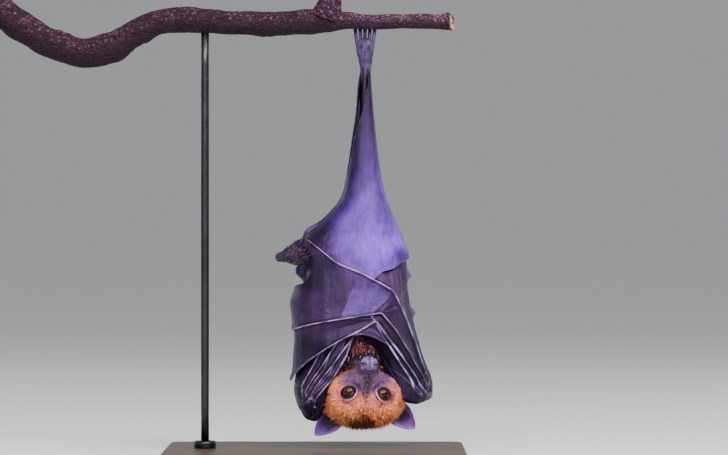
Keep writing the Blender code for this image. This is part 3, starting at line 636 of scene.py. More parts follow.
@dataclass
class WingSkin:
    """One wing's skin, gathered membrane by membrane into a single sheet.

    Attributes:
        name: The object's name.
        fingers: The bones that show through it.
        depth: Lift of the whole sheet at (angle, height).
        thickness: Thickness of the skin.
        points: The gathered points.
        tints: Their colours.
        faces: The gathered quads.
        count: How many points there are so far.
    """

    name: str
    fingers: list[Finger]
    depth: Callable[[Array, Array], Array]
    thickness: float = 0.8
    points: list[Array] = field(default_factory=list)
    tints: list[Array] = field(default_factory=list)
    faces: list[Array] = field(default_factory=list)
    count: int = 0

    def add(self, place: Array, tone: Array, lift: Array | float = 0.0) -> Array:
        """Adds one membrane.

        Args:
            place: Its grid of (angle, height).
            tone: Its colours.
            lift: How far it lies out from the sheet's depth.

        Returns:
            Its points.
        """
        ground = on_wrap(place)
        height, pale, dark = ridges(ground, self.fingers)
        points = on_wrap(place, self.depth(place[..., 0], place[..., 1]) + lift + height + creases(ground))
        rough = 1 + 0.22 * ripple(points, 14, 5) + 0.15 * ripple(points * (1, 1, 0.45), 4, 6)
        # Painted shade by place, painted shadow beside the bones and painted highlight over them
        tint = tone * (rough * wing_shade(ground))[..., None]
        tint = tint * (1 - 0.85 * dark)[..., None]
        self.add_grid(points, blend(tint, PALE_RIDGE, pale))
        return points

    def sagging(self, high: Array, low: Array, rows: int, deep: float, tone: tuple[Colour, Colour]) -> None:
        """Adds a membrane that sags as sin^2 between two fingers.

        Args:
            high: Track of the upper finger.
            low: Track of the lower finger.
            rows: Rows of places.
            deep: How far it sags.
            tone: Its colours along both fingers.
        """
        down = shares(rows)[..., None]
        tint = (1 - down) * np.array(tone[0]) + down * np.array(tone[1]) + np.zeros((rows, len(high), 3))
        self.add(between(high, low, rows), tint, -deep * np.sin(math.pi * shares(rows)) ** 2)

    def roll(self, points: Array, place: Array, radius: float, tone: Colour) -> None:
        """Rounds a membrane's last row inwards: e + r sin t d - r (1 - cos t) n, for t up to 160 degrees.

        Args:
            points: The membrane's points.
            place: Its grid of (angle, height).
            radius: The roll's radius, r.
            tone: Its colour.
        """
        out = on_wrap(place[-1], 1) - on_wrap(place[-1])
        ahead = points[-1] - points[-4]
        ahead -= out * (ahead * out).sum(1)[:, None]
        for _ in range(12):
            ahead[1:-1] = (ahead[:-2] + ahead[1:-1] + ahead[2:]) / 3
        ahead = unit(ahead)
        t = np.radians(np.linspace(0, 160, 14))[:, None, None]
        rolled = points[-1] + radius * (np.sin(t) * ahead - (1 - np.cos(t)) * out)
        rolled[1:] += 0.2 * ripple(rolled[1:], 5, 7)[..., None] * out
        shade = 1 - 0.35 * np.sin(t / 2) ** 2 + 0.2 * ripple(rolled, 6, 8)[..., None]
        self.add_grid(rolled, np.array(tone) * shade)

    def add_grid(self, points: Array, tint: Array) -> None:
        """Adds a finished grid of points and colours.

        Args:
            points: The grid's points.
            tint: Their colours.
        """
        rows, columns, _ = points.shape
        self.points.append(points.reshape(-1, 3))
        self.tints.append(np.broadcast_to(tint, points.shape).reshape(-1, 3))
        self.faces.append(grid_faces(rows, columns, start=self.count))
        self.count += rows * columns

    def build(self) -> bpy.types.Object:
        """The closed skin: the membranes joined along the fingers, then given their thickness."""
        made = piece(self.name, np.concatenate(self.points), self.faces, np.concatenate(self.tints))
        shell = cleaned(made, 3e-5).modifiers.new("Skin", "SOLIDIFY")
        shell.thickness, shell.offset, shell.use_rim = self.thickness * MM, -1, True
        return applied(made)


OUT, PALM = 96, 64  # steps along a long finger beyond its knuckle, and within the palm


def arm_line(stations: Stations, steps: int) -> tuple[Array, Array]:
    """The axis of an arm bone as points, and its radii."""
    angle, z, lift, radius = read_stations(stations, steps)
    return wrap_point(np.radians(angle), z, lift), radius


def long_finger(out: list, palm: tuple) -> Array:
    """A finger's places from its tip over its knuckle to the palm, with slightly rounded corners."""
    line = np.vstack((track(out, OUT + 1), track(out[-1:] + front(*palm), PALM + 1)[1:]))
    return eased(line, 3)


def beyond(line: Array, *places: Place) -> Array:
    """A finger's line carried on through places seen from the front."""
    share = (power(np.sin(line[-1, 0]), 2 / WRAP_POWER), line[-1, 1])
    return np.vstack((line, track([share] + front(*places), 4 * len(places) + 1)[1:]))


def hem_from(start: Array, places: list[Place], count: int) -> Array:
    """A hem that starts at a place (angle, height) on a finger and goes on through unrolled places."""
    return even(np.vstack((start[None], track(places, count))), count)


def nearest(line: Array, x: float, z: float) -> int:
    """Which place of a track is nearest to X and height as seen from the front."""
    return int(np.argmin(np.linalg.norm(on_wrap(line)[:, (0, 2)] - (x, z), axis=1)))


def back_edge(places: Sequence[Place], count: int) -> Array:
    """The arm web's back edge, through places of angle in degrees and height."""
    return even(np.array([(math.radians(angle), z) for angle, z in places]), count)


def spot_at(ground: Array, centre: Array, stretch: Point, size: float) -> Array:
    """A round bump's share about a point, its distances stretched along the axes."""
    return hump(np.linalg.norm((ground - centre) * stretch, axis=-1), size)


def flat(angle: Array, z: Array) -> Array:
    """No lift."""
    return 0 * angle * z


def sleeve(
    skin: WingSkin, outer: Array, forearm: Stations, upper: Stations, side: int, columns: int = 64
) -> None:
    """The skin of the folded arm: from the arm web's back edge over the forearm and the upper arm.

    Args:
        skin: The wing it belongs to.
        outer: Track of the arm web's back edge.
        forearm: Stations of the forearm.
        upper: Stations of the upper arm.
        side: 1 for the right wing, -1 for the left.
        columns: Places across it.
    """
    z = outer[:, 1]
    bones = []
    for stations in (forearm, upper):
        table = np.array(sorted(stations, key=lambda s: s[1]), float)
        bones.append([smooth(table[:, 1], table[:, k], z) for k in (0, 2, 3)])
    (fore_a, fore_l, fore_r), (up_a, up_l, up_r) = bones
    knots = np.array((0, 0.34, 0.72, 1.0))
    turn = np.stack((np.degrees(outer[:, 0]), fore_a, up_a, up_a + side * 17))
    base = np.stack((skin.depth(outer[:, 0], z), fore_l, up_l - 0.5, up_l - 7.5))
    across = np.linspace(0, 1, columns)
    angle, lift = (np.stack([smooth(knots, column, across) for column in table.T]) for table in (turn, base))
    lift -= 1.6 * np.sin(np.clip(across / knots[1], 0, 1) * math.pi)[None] ** 2
    radius = girth(z)[:, None]
    for bone_a, bone_r in ((fore_a, fore_r), (up_a, up_r)):
        d = np.radians(angle - bone_a[:, None]) * radius
        lift += bone_r[:, None] * hump(d, 1.15 * bone_r[:, None])
    place = np.stack((np.radians(angle), np.broadcast_to(z[:, None], angle.shape)), -1)
    ground = on_wrap(place)
    height, pale, _ = ridges(ground, skin.fingers)
    fade = np.clip(1 - across / 0.2, 0, 1)[None]
    lift += fade * (height + creases(ground))
    lift += (1 - fade) * (0.25 * ripple(ground * (1, 1, 0.3), 7, 8))
    points = on_wrap(place, lift)
    tone = smooth((0, 0.34, 0.5, 1), (0, 0.35, 0.8, 1), across)[None, :, None]
    tint = (1 - tone) * np.array(MAUVE) * 0.8 + tone * np.array(DUSK) * 1.4 + np.zeros(points.shape)
    skin.add_grid(points, blend(tint, PALE_RIDGE, fade * pale))


@dataclass(frozen=True)
class Cover:
    """The skin over a wrist, and along the hem in behind the head, with a rolled edge.

    Attributes:
        palm: Track across the ends of the finger bones, from the back to the hem's lower end.
        hem: Track of the palm's hem, whose last place is where palm ends.
        rim: Track of the lower edge, matched to palm.
        inside: Track of the edge behind the head, from the lower edge up, matched to hem.
        wrist: Middle of the wrist seen from the front.
        deep: How far the skin goes in behind the head.
    """

    palm: Array
    hem: Array
    rim: Array
    inside: Array
    wrist: Place
    deep: float

    def add_to(self, skin: WingSkin) -> None:
        """Closes a wing below its palm.

        Args:
            skin: The wing it belongs to.
        """
        palm = self.palm + np.outer(1 - np.linspace(0, 1, len(self.palm)) ** 8, (0, 6.0))
        ridge, edge = np.vstack((palm[:-1], self.hem[::-1])), np.vstack((self.rim[:-1], self.inside))
        place = between(ridge, edge, 40)
        share = shares(40)
        ground = on_wrap(place)
        along = np.concatenate((np.zeros(len(palm) - 1), np.linspace(0, 1, len(self.hem))))
        lift = -self.deep * share**0.8 * np.sin(np.clip(along * 1.35, 0, 1) * math.pi / 2)[None]
        lift = lift * (1 - 0.5 * step_up(0.85, 1, along))
        tuck = (along == 0) * (1 - step_up(0.1, 0.35, share)) * -2.6
        x, z = ground[..., 0], ground[..., 2] - self.wrist[1]
        spot = np.hypot(x - self.wrist[0], z) + 60 * (ground[..., 1] > 5)
        dome = 2.6 * hump(spot, 9)
        rough = (0.5 * ripple(ground, 5.5, 24) + 0.35 * ripple(ground, 2.2, 27)) * hump(spot, 14)
        knob = hump(np.hypot(x - 1.06 * self.wrist[0], z + 4), 2.0)
        tone = mixed(
            place,
            DUSK,
            (GLOOM, 0.8 * hump(spot, 11)),
            (SLATE, 0.7 * (ripple(ground, 4, 25) > 0.4) * hump(spot, 14)),
            # painted highlight on the wrist's knob
            (PALE_RIDGE, 0.5 * knob),
        )
        points = skin.add(place, tone, lift + tuck + dome + rough)
        skin.roll(points, place, 5.0, DUSK)


@dataclass
class RightWing:
    """The outer wing, which crosses the front from the right wrist to the left side.

    Attributes:
        fifth: The fifth finger as seen from the front (X, height), beyond its knuckle and in the palm.
        fourth: The fourth finger, from where it comes round the left side.
        third: The third finger, in the same way.
        hem_line: The palm's hem.
        forearm: Stations of the forearm: angle in degrees, height, lift and radius.
        upper_arm: Stations of the upper arm.
    """

    fifth: tuple = (
        ((-59.2, 223), (-52.3, 217.2), (-45, 211.3), (-37, 204.8), (-28.5, 198), (28.5, 169)),
        ((39.9, 143.2), (50.4, 116.8), (60.5, 88)),
    )
    fourth: tuple = ((-71.5, 130), (16, 148.5)), ((31, 130), (43, 110.5), (59, 80.5))
    third: tuple = ((-73.5, 79), (-21.5, 123), (11, 141)), ((33.5, 109.5), (54, 75.5))
    hem_line: tuple = ((-14, 125.6), (-3, 127.4), (8.3, 124.4), (23.5, 116.5), (31.5, 103.5), (48.3, 72.5))
    forearm: Stations = (
        (108, 203, -6.4, 4.4), (108, 190, -6.0, 4.2), (106, 150, -4.6, 3.8), (101, 112, -3.6, 3.5),
        (96, 92, -3.4, 3.6),
    )
    upper_arm: Stations = (
        (142, 118, -7.4, 5.4), (136, 150, -7.2, 5.2), (129, 176, -7.0, 4.6), (124, 187, -7.0, 4.2)
    )

    def __post_init__(self) -> None:
        """Lays the lines of the fingers and of the hems."""
        self.five = long_finger(front(*self.fifth[0]), self.fifth[1])
        behind = [unrolled(-42, 163, -1), unrolled(-66, 143, -1)]
        self.four = long_finger(behind + front(*self.fourth[0]), self.fourth[1])
        behind = [unrolled(-38, 118, -1), unrolled(-66, 92, -1)]
        self.three = long_finger(behind + front(*self.third[0]), self.third[1])
        free = front((-4.6, 341), (-11.8, 316), (-18, 280), (-23, 262.5), (-31.8, 250.2), (-41, 240))
        self.free = track([(0.35, 372)] + free, 60)
        hem = front((18, 189.5), (26, 191), (35, 198), (43.2, 206))
        self.leave = int(np.argmin(np.abs(on_wrap(self.five)[:, 0] - 9.0)))
        hem = hem_from(self.five[self.leave], hem + [unrolled(36, 206, 1), unrolled(18, 196, 1)], 60)
        self.hem = eased(hem, 2)
        self.begin = nearest(self.three, *self.hem_line[0])
        arch = np.vstack((self.three[self.begin], track(front(*self.hem_line[1:]), 60)))
        self.arch = eased(even(arch, len(self.three) - self.begin), 6)
        self.skin = WingSkin("wing_right_skin", self.fingers(), flat)

    def fingers(self) -> list[Finger]:
        """The bones and cords that show through the skin."""
        slim, bent = (0.53, 0.79, 0.89, 0.86, 0.53), (0.53, 0.79, 0.86, 0.79, 0.53)
        fold = track(front((6, 146), (22, 124), (38, 103), (53, 79), (57, 71)), 60)
        second = track(front((12, 135.5), (26.5, 112), (38, 94), (50.5, 74), (55, 67)), 60)
        rim = track(front((21, 99), (31.5, 90.5), (44, 79), (53, 71)), 30)
        tip = track(front(*self.hem_line[3:]), 40)
        return [
            Finger(beyond(self.five, (62.5, 80), (62.8, 73)), (0.53, 0.79, 0.99, 1.12, 0.59), 1.0, 0.7),
            Finger(beyond(self.four, (61.2, 74), (61.2, 68)), slim, 0.95, 0.95),
            Finger(beyond(self.three, (58.6, 68.5), (59.5, 65)), bent, 0.95, 0.95),
            Finger(beyond(tip, (54, 66)), (0.53, 0.73, 0.73, 0.53), 0.95, 0.95),
            Finger(self.arch, (0.3, 0.33, 0.4), 0.45, 0.5),
            Finger(self.hem, (0.3, 0.33, 0.33), 0.35, 0.5),
            Finger(np.vstack((self.free, self.five[:1])), (0.26, 0.3, 0.33), 0.5),
            Finger(fold, (0.46, 0.66, 0.73, 0.46), 0.95, 0.95),
            Finger(second, (0.46, 0.66, 0.66, 0.46), 0.95, 0.95),
            Finger(track(front((-59.5, 147.5), (-70, 131)), 12), (0.2, 0.33, 0.4), 0.6, 0.4),
            Finger(rim, (0.2, 0.33, 0.33, 0.26), 0.5, 0.3),
        ]

    def sheet(self) -> None:
        """The sheet from the ankle to the fifth finger, whose lower right corner stands off the arm."""
        bottom = np.vstack((self.five[: self.leave], self.hem))
        top = track([(0.6, 385), (0.9, 388), (1.3, 389), (1.75, 386)], len(bottom))
        left = np.vstack((top[:1], self.free, bottom[:1]))
        right = track([(1.72, 330), (1.68, 270), unrolled(22, 225, 1)], 30)
        right = np.vstack((top[-1:], right, bottom[-1:]))
        place = between(top, bottom, 90, left, right)
        ground = on_wrap(place)
        x, z = ground[..., 0], ground[..., 2]
        bone_highlight = 1 - step_up(2.0, 5.5, Finger(self.five, (0.66, 0.66)).under(ground)[0])
        tone = mixed(
            place,
            VIOLET,
            (VIOLET_TOP, step_up(235, 345, z)),
            # Painted shade on the left part of the sheet, away from the light, and a painted highlight beside
            # the fifth finger
            (VIOLET_DEEP, (1 - step_up(-42, -22, x)) * (1 - step_up(225, 250, z))),
            (VIOLET_DEEP, 0.5 * (1 - step_up(-40, 2, x + 0.20 * (z - 262)))),
            (PALE_RIDGE, 0.35 * bone_highlight * step_up(-30, 0, x)),
        )
        self.skin.add(place, tone, 3.0 * spot_at(ground, (40, -6, 204), (1, 0.35, 1), 15))

    def five_to_four(self) -> None:
        """Between the fifth and the fourth finger, with a flat fold beside the knuckles."""
        edge = front((-53.3, 205.5), (-52, 196.5), (-54.5, 187), (-60, 177.5)) + [unrolled(-64, 169, -1)]
        edge = np.vstack((self.five[:1], track(edge, 40), self.four[:1]))
        place = between(self.five, self.four, 56, edge)
        ground = on_wrap(place)
        x, z = ground[..., 0], ground[..., 2]
        share = shares(56)
        sag = -1.9 * np.sin(math.pi * share) ** 2 * step_up(-75, -30, x)
        sag = sag * (1 - 0.4 * step_up(28, 40, x))
        edge_x = np.minimum(8 + 1.15 * (z - 147.5), 23.5 + 0.3 * (z - 161))
        patch = step_up(0, 1.4, (x + 23.5) - 0.42 * (z - 146.7)) * (1 - step_up(-0.8, 0.8, x - edge_x))
        patch = patch * (1 - 0.75 * step_up(166, 178, z + 0.25 * x))
        fan = np.arctan2(z - 148.5, x - 16)
        rays = 0.4 * np.sin(9 * fan + 1.5 * np.sin(3 * fan)) * np.sin(math.pi * share) ** 2
        # A painted rim of light along the left outline, and painted light on the lit patch
        tone = mixed(
            place,
            GLOOM,
            (SLATE, 0.9 * hump(z - 190 + 0.35 * x, 14) * step_up(-45, -25, x)),
            (VIOLET_DEEP, 1 - step_up(-74, -58, x)),
            (VIOLET_DEEP, 0.8 * step_up(168, 182, z + 0.45 * x) * (1 - step_up(24, 28, x))),
            (LIT_PATCH, patch * (0.8 + 0.3 * hump(np.hypot(x - 12, z - 164), 9))),
        )
        fold = 1.6 * np.sin(math.pi * share) * (1 - step_up(-0.6, 0.6, x - edge_x)) * step_up(-30, -15, x)
        self.skin.add(place, tone, sag + fold + rays * (1 - patch))

    def four_to_two(self) -> None:
        """Between the fourth and the third finger, and from there to the second."""
        edge = track([unrolled(-52, 148, -1), unrolled(-50, 132, -1)], 20)
        place = between(self.four, self.three, 42, np.vstack((self.four[:1], edge, self.three[:1])))
        ground = on_wrap(place)
        x, z = ground[..., 0], ground[..., 2]
        fan = np.arctan2(z - 143, x - 13)
        rays = 0.6 * np.sin(14 * fan + 2 * np.sin(4 * fan)) * (1 - step_up(5, 15, x))
        # The dark tone paints the shade on this lower fold, darkest towards the palm, with a painted rim of
        # light along the left outline
        edges = (VIOLET_DEEP, 1 - step_up(-73, -60, x)), (DUSK, 0.8 * step_up(-50, -15, x))
        tone = mixed(place, GLOOM, *edges)
        sag = np.sin(math.pi * shares(42)) ** 2
        # Paler where the rays of folds stand out: painted light
        self.skin.add(place, tone * (1 + 0.35 * rays)[..., None], (-2.0 + rays) * sag)
        place = between(self.three[self.begin :], self.arch, 40)
        share = shares(40)
        # Paler on the crests of the folds, as painted light, and darker down towards the arch
        lines = np.sin(share * 22 + np.linspace(0, 3, place.shape[1])[None])
        tone = mixed(place, GLOOM, (VIOLET_DEEP, 0.35 * step_up(-0.3, 0.8, lines)))
        tone = tone * (1 - 0.5 * share)[..., None]
        self.skin.add(place, tone, -1.3 * np.sin(math.pi * share) ** 2 + 0.25 * lines)

    def arm(self) -> None:
        """The folded arm, under the sheet's corner, with bumps where the other wing's fingers end."""
        tucked = 16
        inner = np.vstack((track(front((2, 203), (9, 190)), tucked), self.five[self.leave :]))
        outer = back_edge(((86, 203), (87, 157), (87, 130), (86, 92)), len(inner))
        place = between(inner, outer, 50)
        ground = on_wrap(place)
        x, z = ground[..., 0], ground[..., 2]
        line = np.interp(x, (9, 18, 26, 35, 43), (181, 189.5, 191, 198, 206))
        under = -3.2 * step_up(-7, 1.5, z - line)
        share = shares(50)
        under[0, tucked:] = 0
        threads = ripple(ground * (1, 1, 0.15), 2.0, 26)
        tone = mixed(
            place,
            MAUVE,
            (SLATE, 1 - step_up(120, 172, z)),
            (PALE_RIDGE, 0.16 * step_up(0.3, 0.9, threads) * step_up(110, 130, z)),
            (GLOOM, 1 - step_up(88, 112, z)),
            # painted shadow under the sheet's overhanging corner
            (DUSK, 0.9 * step_up(-9, -1, z - line)),
        )
        bumps = ((185.0, 4.6), (148.0, 4.0))
        knobs = [spot_at(ground, wrap_point(1.50, high, 0), (1, 1, 1), size) for high, size in bumps]
        knobs = np.maximum(*knobs)
        valley = -1.4 * np.sin(math.pi * share) ** 2
        lift = under * np.maximum(step_up(0, 0.08, share), np.arange(len(inner))[None] < tucked)
        # painted highlight on the knuckle bumps
        tone = tone + knobs[..., None] * (np.array(PALE_RIDGE) * 0.9 - tone)
        self.skin.add(place, tone, lift + valley + 4.2 * knobs)
        sleeve(self.skin, outer, self.forearm, self.upper_arm, 1)

    def wrist(self) -> None:
        """The wrist's cover and the dark skin that goes in behind the head."""
        palm = [unrolled(57, 95, 1), unrolled(62, 93, 1)]
        palm = track(palm + front((60.5, 88), (59, 80.5), (54, 75.5), (48.3, 72.5)), 50)
        rim = [unrolled(57, 68, 1), unrolled(63, 66, 1)]
        rim = track(rim + front((61.5, 64.5), (54, 62), (47, 63), (41, 66)), 50)
        inside = front((41, 66), (36, 74), (32, 86), (25, 99), (18, 110.5), (8, 118.5), (-6, 123))
        inside = even(track(inside, 80), len(self.arch))
        Cover(palm, self.arch, rim, inside, (59, 70), 13.0).add_to(self.skin)

    def build(self) -> bpy.types.Object:
        """The wing's whole skin."""
        self.sheet()
        self.five_to_four()
        self.four_to_two()
        self.arm()
        self.wrist()
        return self.skin.build()


def left_lift(angle: Array, z: Array) -> Array:
    """The left wing's lift: out by its own wrist and knee, and in under the right wing elsewhere.

    Args:
        angle: Angles round the wrap.
        z: Heights.

    Returns:
        Lifts, in millimetres.
    """
    under = np.maximum(smooth((62, 78, 105), (-1.2, -3.6, -8.0), z), -0.22 * girth(z))
    degrees = np.degrees(angle)
    bare = step_up(-42, -72, degrees) * step_up(322, 345, z)
    bare = np.maximum(bare, 1 - step_up(-112, -96, degrees))
    bare = np.maximum(bare, (1 - step_up(-84, -68, degrees)) * step_up(177, 188, z))
    return under * (1 - bare * step_up(150, 185, z)) + 0 * angle


@dataclass
class LeftWing:
    """The inner wing, seen below the right one, round the left side and behind.

    Attributes:
        far: Places beyond the knuckles of the fifth, the fourth and the third finger (X, height).
        knuckles: Their knuckles.
        palms: Their ends at the wrist.
        palm_2: The second finger's end at the wrist.
        folds: Folds of the palm, and the steps along each.
        forearm: Stations of the forearm: angle in degrees, height, lift and radius.
        upper_arm: Stations of the upper arm.
    """

    far: tuple = (((24, 196), (2, 188)), ((30, 158),), ((28, 124), (18, 132)))
    knuckles: tuple = ((-24, 150), (-14, 139), (-8, 127))
    palms: tuple = ((-65, 74), (-60.5, 67.5), (-54.8, 63.5))
    palm_2: Place = (-48.8, 61.5)
    folds: tuple = (
        (((-20, 122), (-37, 88), (-52, 68), (-56, 58)), 50),
        (((-27, 131), (-44, 92), (-58, 70), (-60, 60)), 50),
        (((-27, 99), (-41, 78), (-55, 62)), 40),
        (((-50, 84), (-56, 71)), 20),
    )
    forearm: Stations = (
        (-101, 189, -11.0, 4.0), (-102, 176, -13.2, 4.0), (-102, 140, -12.6, 3.8), (-101, 100, -9.5, 3.5),
        (-98, 80, -7.4, 3.6),
    )
    upper_arm: Stations = (
        (-142, 118, -8.6, 5.4), (-140, 146, -8.8, 5.0), (-134, 168, -9.0, 4.4), (-129, 179, -9.4, 4.0)
    )

    def __post_init__(self) -> None:
        """Lays the lines of the fingers."""
        ways = zip(self.far, self.knuckles, self.palms)
        self.lines = [eased(track(front(*far, knuckle, palm), 130), 2) for far, knuckle, palm in ways]
        self.two = track(front((-12, 124), (-19, 106), (-35, 80), self.palm_2), 70)
        self.skin = WingSkin("wing_left_skin", self.fingers(), left_lift)

    def fingers(self) -> list[Finger]:
        """The bones, a tendon at the ankle, four folds and the wrist's knob."""
        bone = (0.79, 0.86, 0.92, 0.59)
        made = [Finger(beyond(line, (-58.5, 56)), bone, 0.95, 0.95) for line in self.lines]
        made += [Finger(beyond(self.two, (-50, 54)), (0.53, 0.86, 0.86, 0.59), 0.95, 0.95)]
        made += [Finger(track(front((-3.4, 388), (-4.2, 375), (-5.0, 363)), 20), (1.3, 1.3, 0.9), 0.9)]
        made += [Finger(track(front(*way), count), (0.33, 0.53, 0.4), 0.6, 0.7) for way, count in self.folds]
        return made + [Finger(track(front((-58.6, 49), (-56.8, 47)), 6), (1.25, 1.25), 0.45, 0.5)]

    def sheet(self) -> None:
        """The sheet from the ankle round the left side, down to the knee."""
        count = 100
        top = track([(-1.9, 372), (-1.5, 389), (-1.2, 387), (-0.85, 362), (-0.4, 338), (0.5, 318)], count)
        hem = [unrolled(-24, 214, -1), unrolled(-48, 213, -1)]
        hem = track(hem + front((-62, 213), (-44, 209), (-20, 203), (14, 203)), count)
        place = between(top, hem, 90)
        ground = on_wrap(place)
        bump = spot_at(ground, wrap_point(-1.28, 231, 0), (0.6, 0.5, 1), 6.5)
        # The sheet is darker up towards the ankle: painted shade
        tone = mixed(place, VIOLET_DEEP, (UPPER_SHADE, step_up(245, 285, ground[..., 2])), (ANKLE_BUMP, bump))
        self.skin.add(place, tone, 5.5 * bump)

    def arm(self) -> None:
        """The folded arm, from the knee down to the fifth finger and the forearm."""
        knuckle = nearest(self.lines[0], *self.knuckles[0])
        inner = np.vstack((track(front((-20, 208), (-22, 175)), 24), self.lines[0][knuckle:]))
        outer = back_edge(((-93, 192), (-92, 170), (-90, 140), (-88, 100), (-86, 78)), len(inner))
        place = between(inner, outer, 50)
        ground = on_wrap(place)
        knob = spot_at(ground, wrap_point(-1.02, 187, 0), (0.7, 0.7, 1), 3.0)
        # A painted rim of light along the left outline, and a painted highlight on the knob
        margin = 1 - step_up(-70, -56, ground[..., 0])
        self.skin.add(place, mixed(place, GLOOM, (VIOLET_DEEP, margin), (PALE_RIDGE, 0.8 * knob)), 1.6 * knob)
        sleeve(self.skin, outer, self.forearm, self.upper_arm, -1)

    def wrist(self) -> None:
        """The wrist's cover and the dark skin that goes in behind the head."""
        palm = [unrolled(-60, 80, -1), unrolled(-66, 79, -1)]
        palm = track(palm + front((-65, 74), (-60.5, 67.5), (-54.8, 63.5), self.palm_2), 50)
        rim = [unrolled(-56, 53, -1), unrolled(-62, 51, -1)]
        rim = track(rim + front((-64, 48), (-60, 45.5), (-54, 44.5), (-48, 49)), 50)
        inside = track(front((-48, 49), (-43, 59), (-35, 75), (-27, 91), (-19, 107), (-11, 121)), 80)
        Cover(palm, self.two, rim, even(inside, len(self.two)), (-58, 55), 10.0).add_to(self.skin)

    def build(self) -> bpy.types.Object:
        """The wing's whole skin."""
        five, four, three = self.lines
        self.skin.sagging(five, four, 36, 1.8, (SLATE, SLATE))
        self.skin.sagging(four, three, 36, 1.8, (SLATE, SLATE))
        self.skin.sagging(even(three[58:], len(self.two)), self.two, 30, 1.6, (SLATE, GLOOM))
        self.sheet()
        self.arm()
        self.wrist()
        return self.skin.build()


# ---------------------------------------------------------------- head


class Side(Enum):
    """A side of the bat as it is seen from the front."""

    LEFT = -1
    RIGHT = 1

    @property
    def word(self) -> str:
        """The side as it stands in names."""
        return self.name.lower()


Relief = tuple[tuple[Point, float, float], ...]


@dataclass(frozen=True)
class Head:
    """The head's own form, with its axes right, up (to the crown) and ahead (to the nose).

    Attributes:
        centre: Its origin in the model.
        pitch: How far the nose points up, in degrees.
        yaw: How far it is turned, in degrees.
        roll: How far it leans, in degrees.
        rows: How far ahead, the section's middle, half width, height over and depth under it.
        ends: How far the nape and the nose are domed.
        steps: Rings between its ends, and points in a ring.
        paired: Humps on both sides alike: place, amount and width.
        single: Humps that fit the outline of one side.
    """

    centre: Point = (-2.0, -26.0, 66.5)
    pitch: float = 40.0
    yaw: float = 10.5
    roll: float = 3.5
    rows: tuple = (
        (-35.0, 0.0, 18.0, 14.0, 11.0), (-27.0, 0.0, 30.0, 22.5, 18.0), (-16.0, 0.0, 38.5, 27.5, 22.0),
        (-5.0, 0.0, 40.0, 27.5, 22.0), (7.0, -1.0, 36.0, 24.0, 20.0), (16.5, -3.0, 27.0, 18.5, 18.0),
        (25.0, -4.5, 17.0, 12.5, 14.0), (34.5, -5.0, 10.2, 8.8, 11.5), (44.0, -5.0, 7.3, 6.8, 8.6),
    )
    ends: Place = (4.0, 4.6)
    steps: tuple[int, int] = (128, 232)
    paired: Relief = (
        ((5.4, -3.4, 47.0), 3.2, 3.3),  # the nostril's bulge
        ((4.9, -2.4, 48.0), -6.0, 1.7),  # the nostril
        ((6.6, -3.9, 46.8), -5.5, 1.7),
        ((7.6, -8.6, 36.0), 1.5, 6.0),  # the lip pad
        ((8.5, 3.0, 24.0), -0.9, 4.5),  # the hollow before the eye
        ((10.5, 14.0, 8.0), 0.9, 7.0),  # the brow
        ((30.0, -4.0, 8.0), 1.6, 9.0),  # the cheek
    )
    single: Relief = (
        ((33, 2, 8), 4.2, 12), ((31, -7, 16), 3.4, 11), ((-28, -6, 16), 2.0, 10),
        ((36, 2, 0), 1.0, 18), ((-35, 3, -2), -3.6, 20), ((0, 26, -18), -3.6, 24),
    )

    def axes(self) -> Array:
        """Right, up and ahead in the model, as rows."""
        pitch, yaw, roll = (math.radians(v) for v in (self.pitch, self.yaw, self.roll))
        right = np.array((1.0, 0, 0))
        up = np.array((0, -math.sin(pitch), -math.cos(pitch)))
        ahead = np.array((0, -math.cos(pitch), math.sin(pitch)))
        right, ahead = (
            right * math.cos(yaw) - ahead * math.sin(yaw),
            ahead * math.cos(yaw) + right * math.sin(yaw),
        )
        turn = ((math.cos(roll), 0, -math.sin(roll)), (0, 1, 0), (math.sin(roll), 0, math.cos(roll)))
        return np.array([np.array(turn) @ way for way in (right, up, ahead)])

    def to_model(self, place: Array) -> Array:
        """Places (right, up, ahead) of the head as points of the model."""
        return np.array(self.centre) + np.asarray(place, float) @ self.axes()

    def places(self, points: Array) -> Array:
        """Points of the model as places (right, up, ahead) of the head."""
        return (np.asarray(points, float) - self.centre) @ self.axes().T

    def section(self, ahead: Array, inset: Array) -> tuple[Array, ...]:
        """Middle, half width, height over and depth under its section, drawn in by inset."""
        run, *columns = np.array(self.rows).T
        middle, half, over, under = (smooth(run, column, ahead) for column in columns)
        return middle, half - inset, over - inset, under - inset

    def surface(self) -> Array:
        """Its surface as rings from the nape to the nose, in its own axes.

        Rings bunch round the eyes and the nose; each end is rounded as (cos f, sin f) over its last stretch.
        The coat's depth, from 3.4 mm at the nape to the bare nose, is taken off.
        """
        (low, high), (rings, sides) = (self.rows[0][0], self.rows[-1][0]), self.steps
        dense = np.linspace(low, high, 2000)
        weight = 0.75 + 1.25 * step_up(4, 8, dense) * (1 - step_up(26, 30, dense))
        weight = weight + 1.6 * step_up(38, 41, dense)
        run = np.concatenate(([0], np.cumsum((weight[1:] + weight[:-1]) / 2 * np.diff(dense))))
        body = np.interp(np.linspace(0, run[-1], rings), run, dense)
        nape, nose = np.radians(np.linspace(85, 6, 9)), np.radians(np.linspace(5, 86, 16))
        ahead = np.concatenate((low - self.ends[0] * np.sin(nape), body, high + self.ends[1] * np.sin(nose)))
        size = np.concatenate((np.cos(nape) ** 0.8, np.ones(rings), np.cos(nose) ** 0.75))[:, None]
        turn = circle(sides)
        turn = turn - 0.16 * np.sin(4 * turn)
        coat = smooth((-30, -5, 12, 24, 32, 38), (3.4, 3.2, 2.2, 1.2, 0.6, 0.0), ahead)
        middle, half, over, under = (column[:, None] for column in self.section(ahead, coat))
        height = np.where(np.sin(turn)[None] > 0, over, under) * size
        ahead = np.broadcast_to(ahead[:, None], height.shape)
        return np.stack((half * size * np.cos(turn), middle + height * np.sin(turn), ahead), -1)

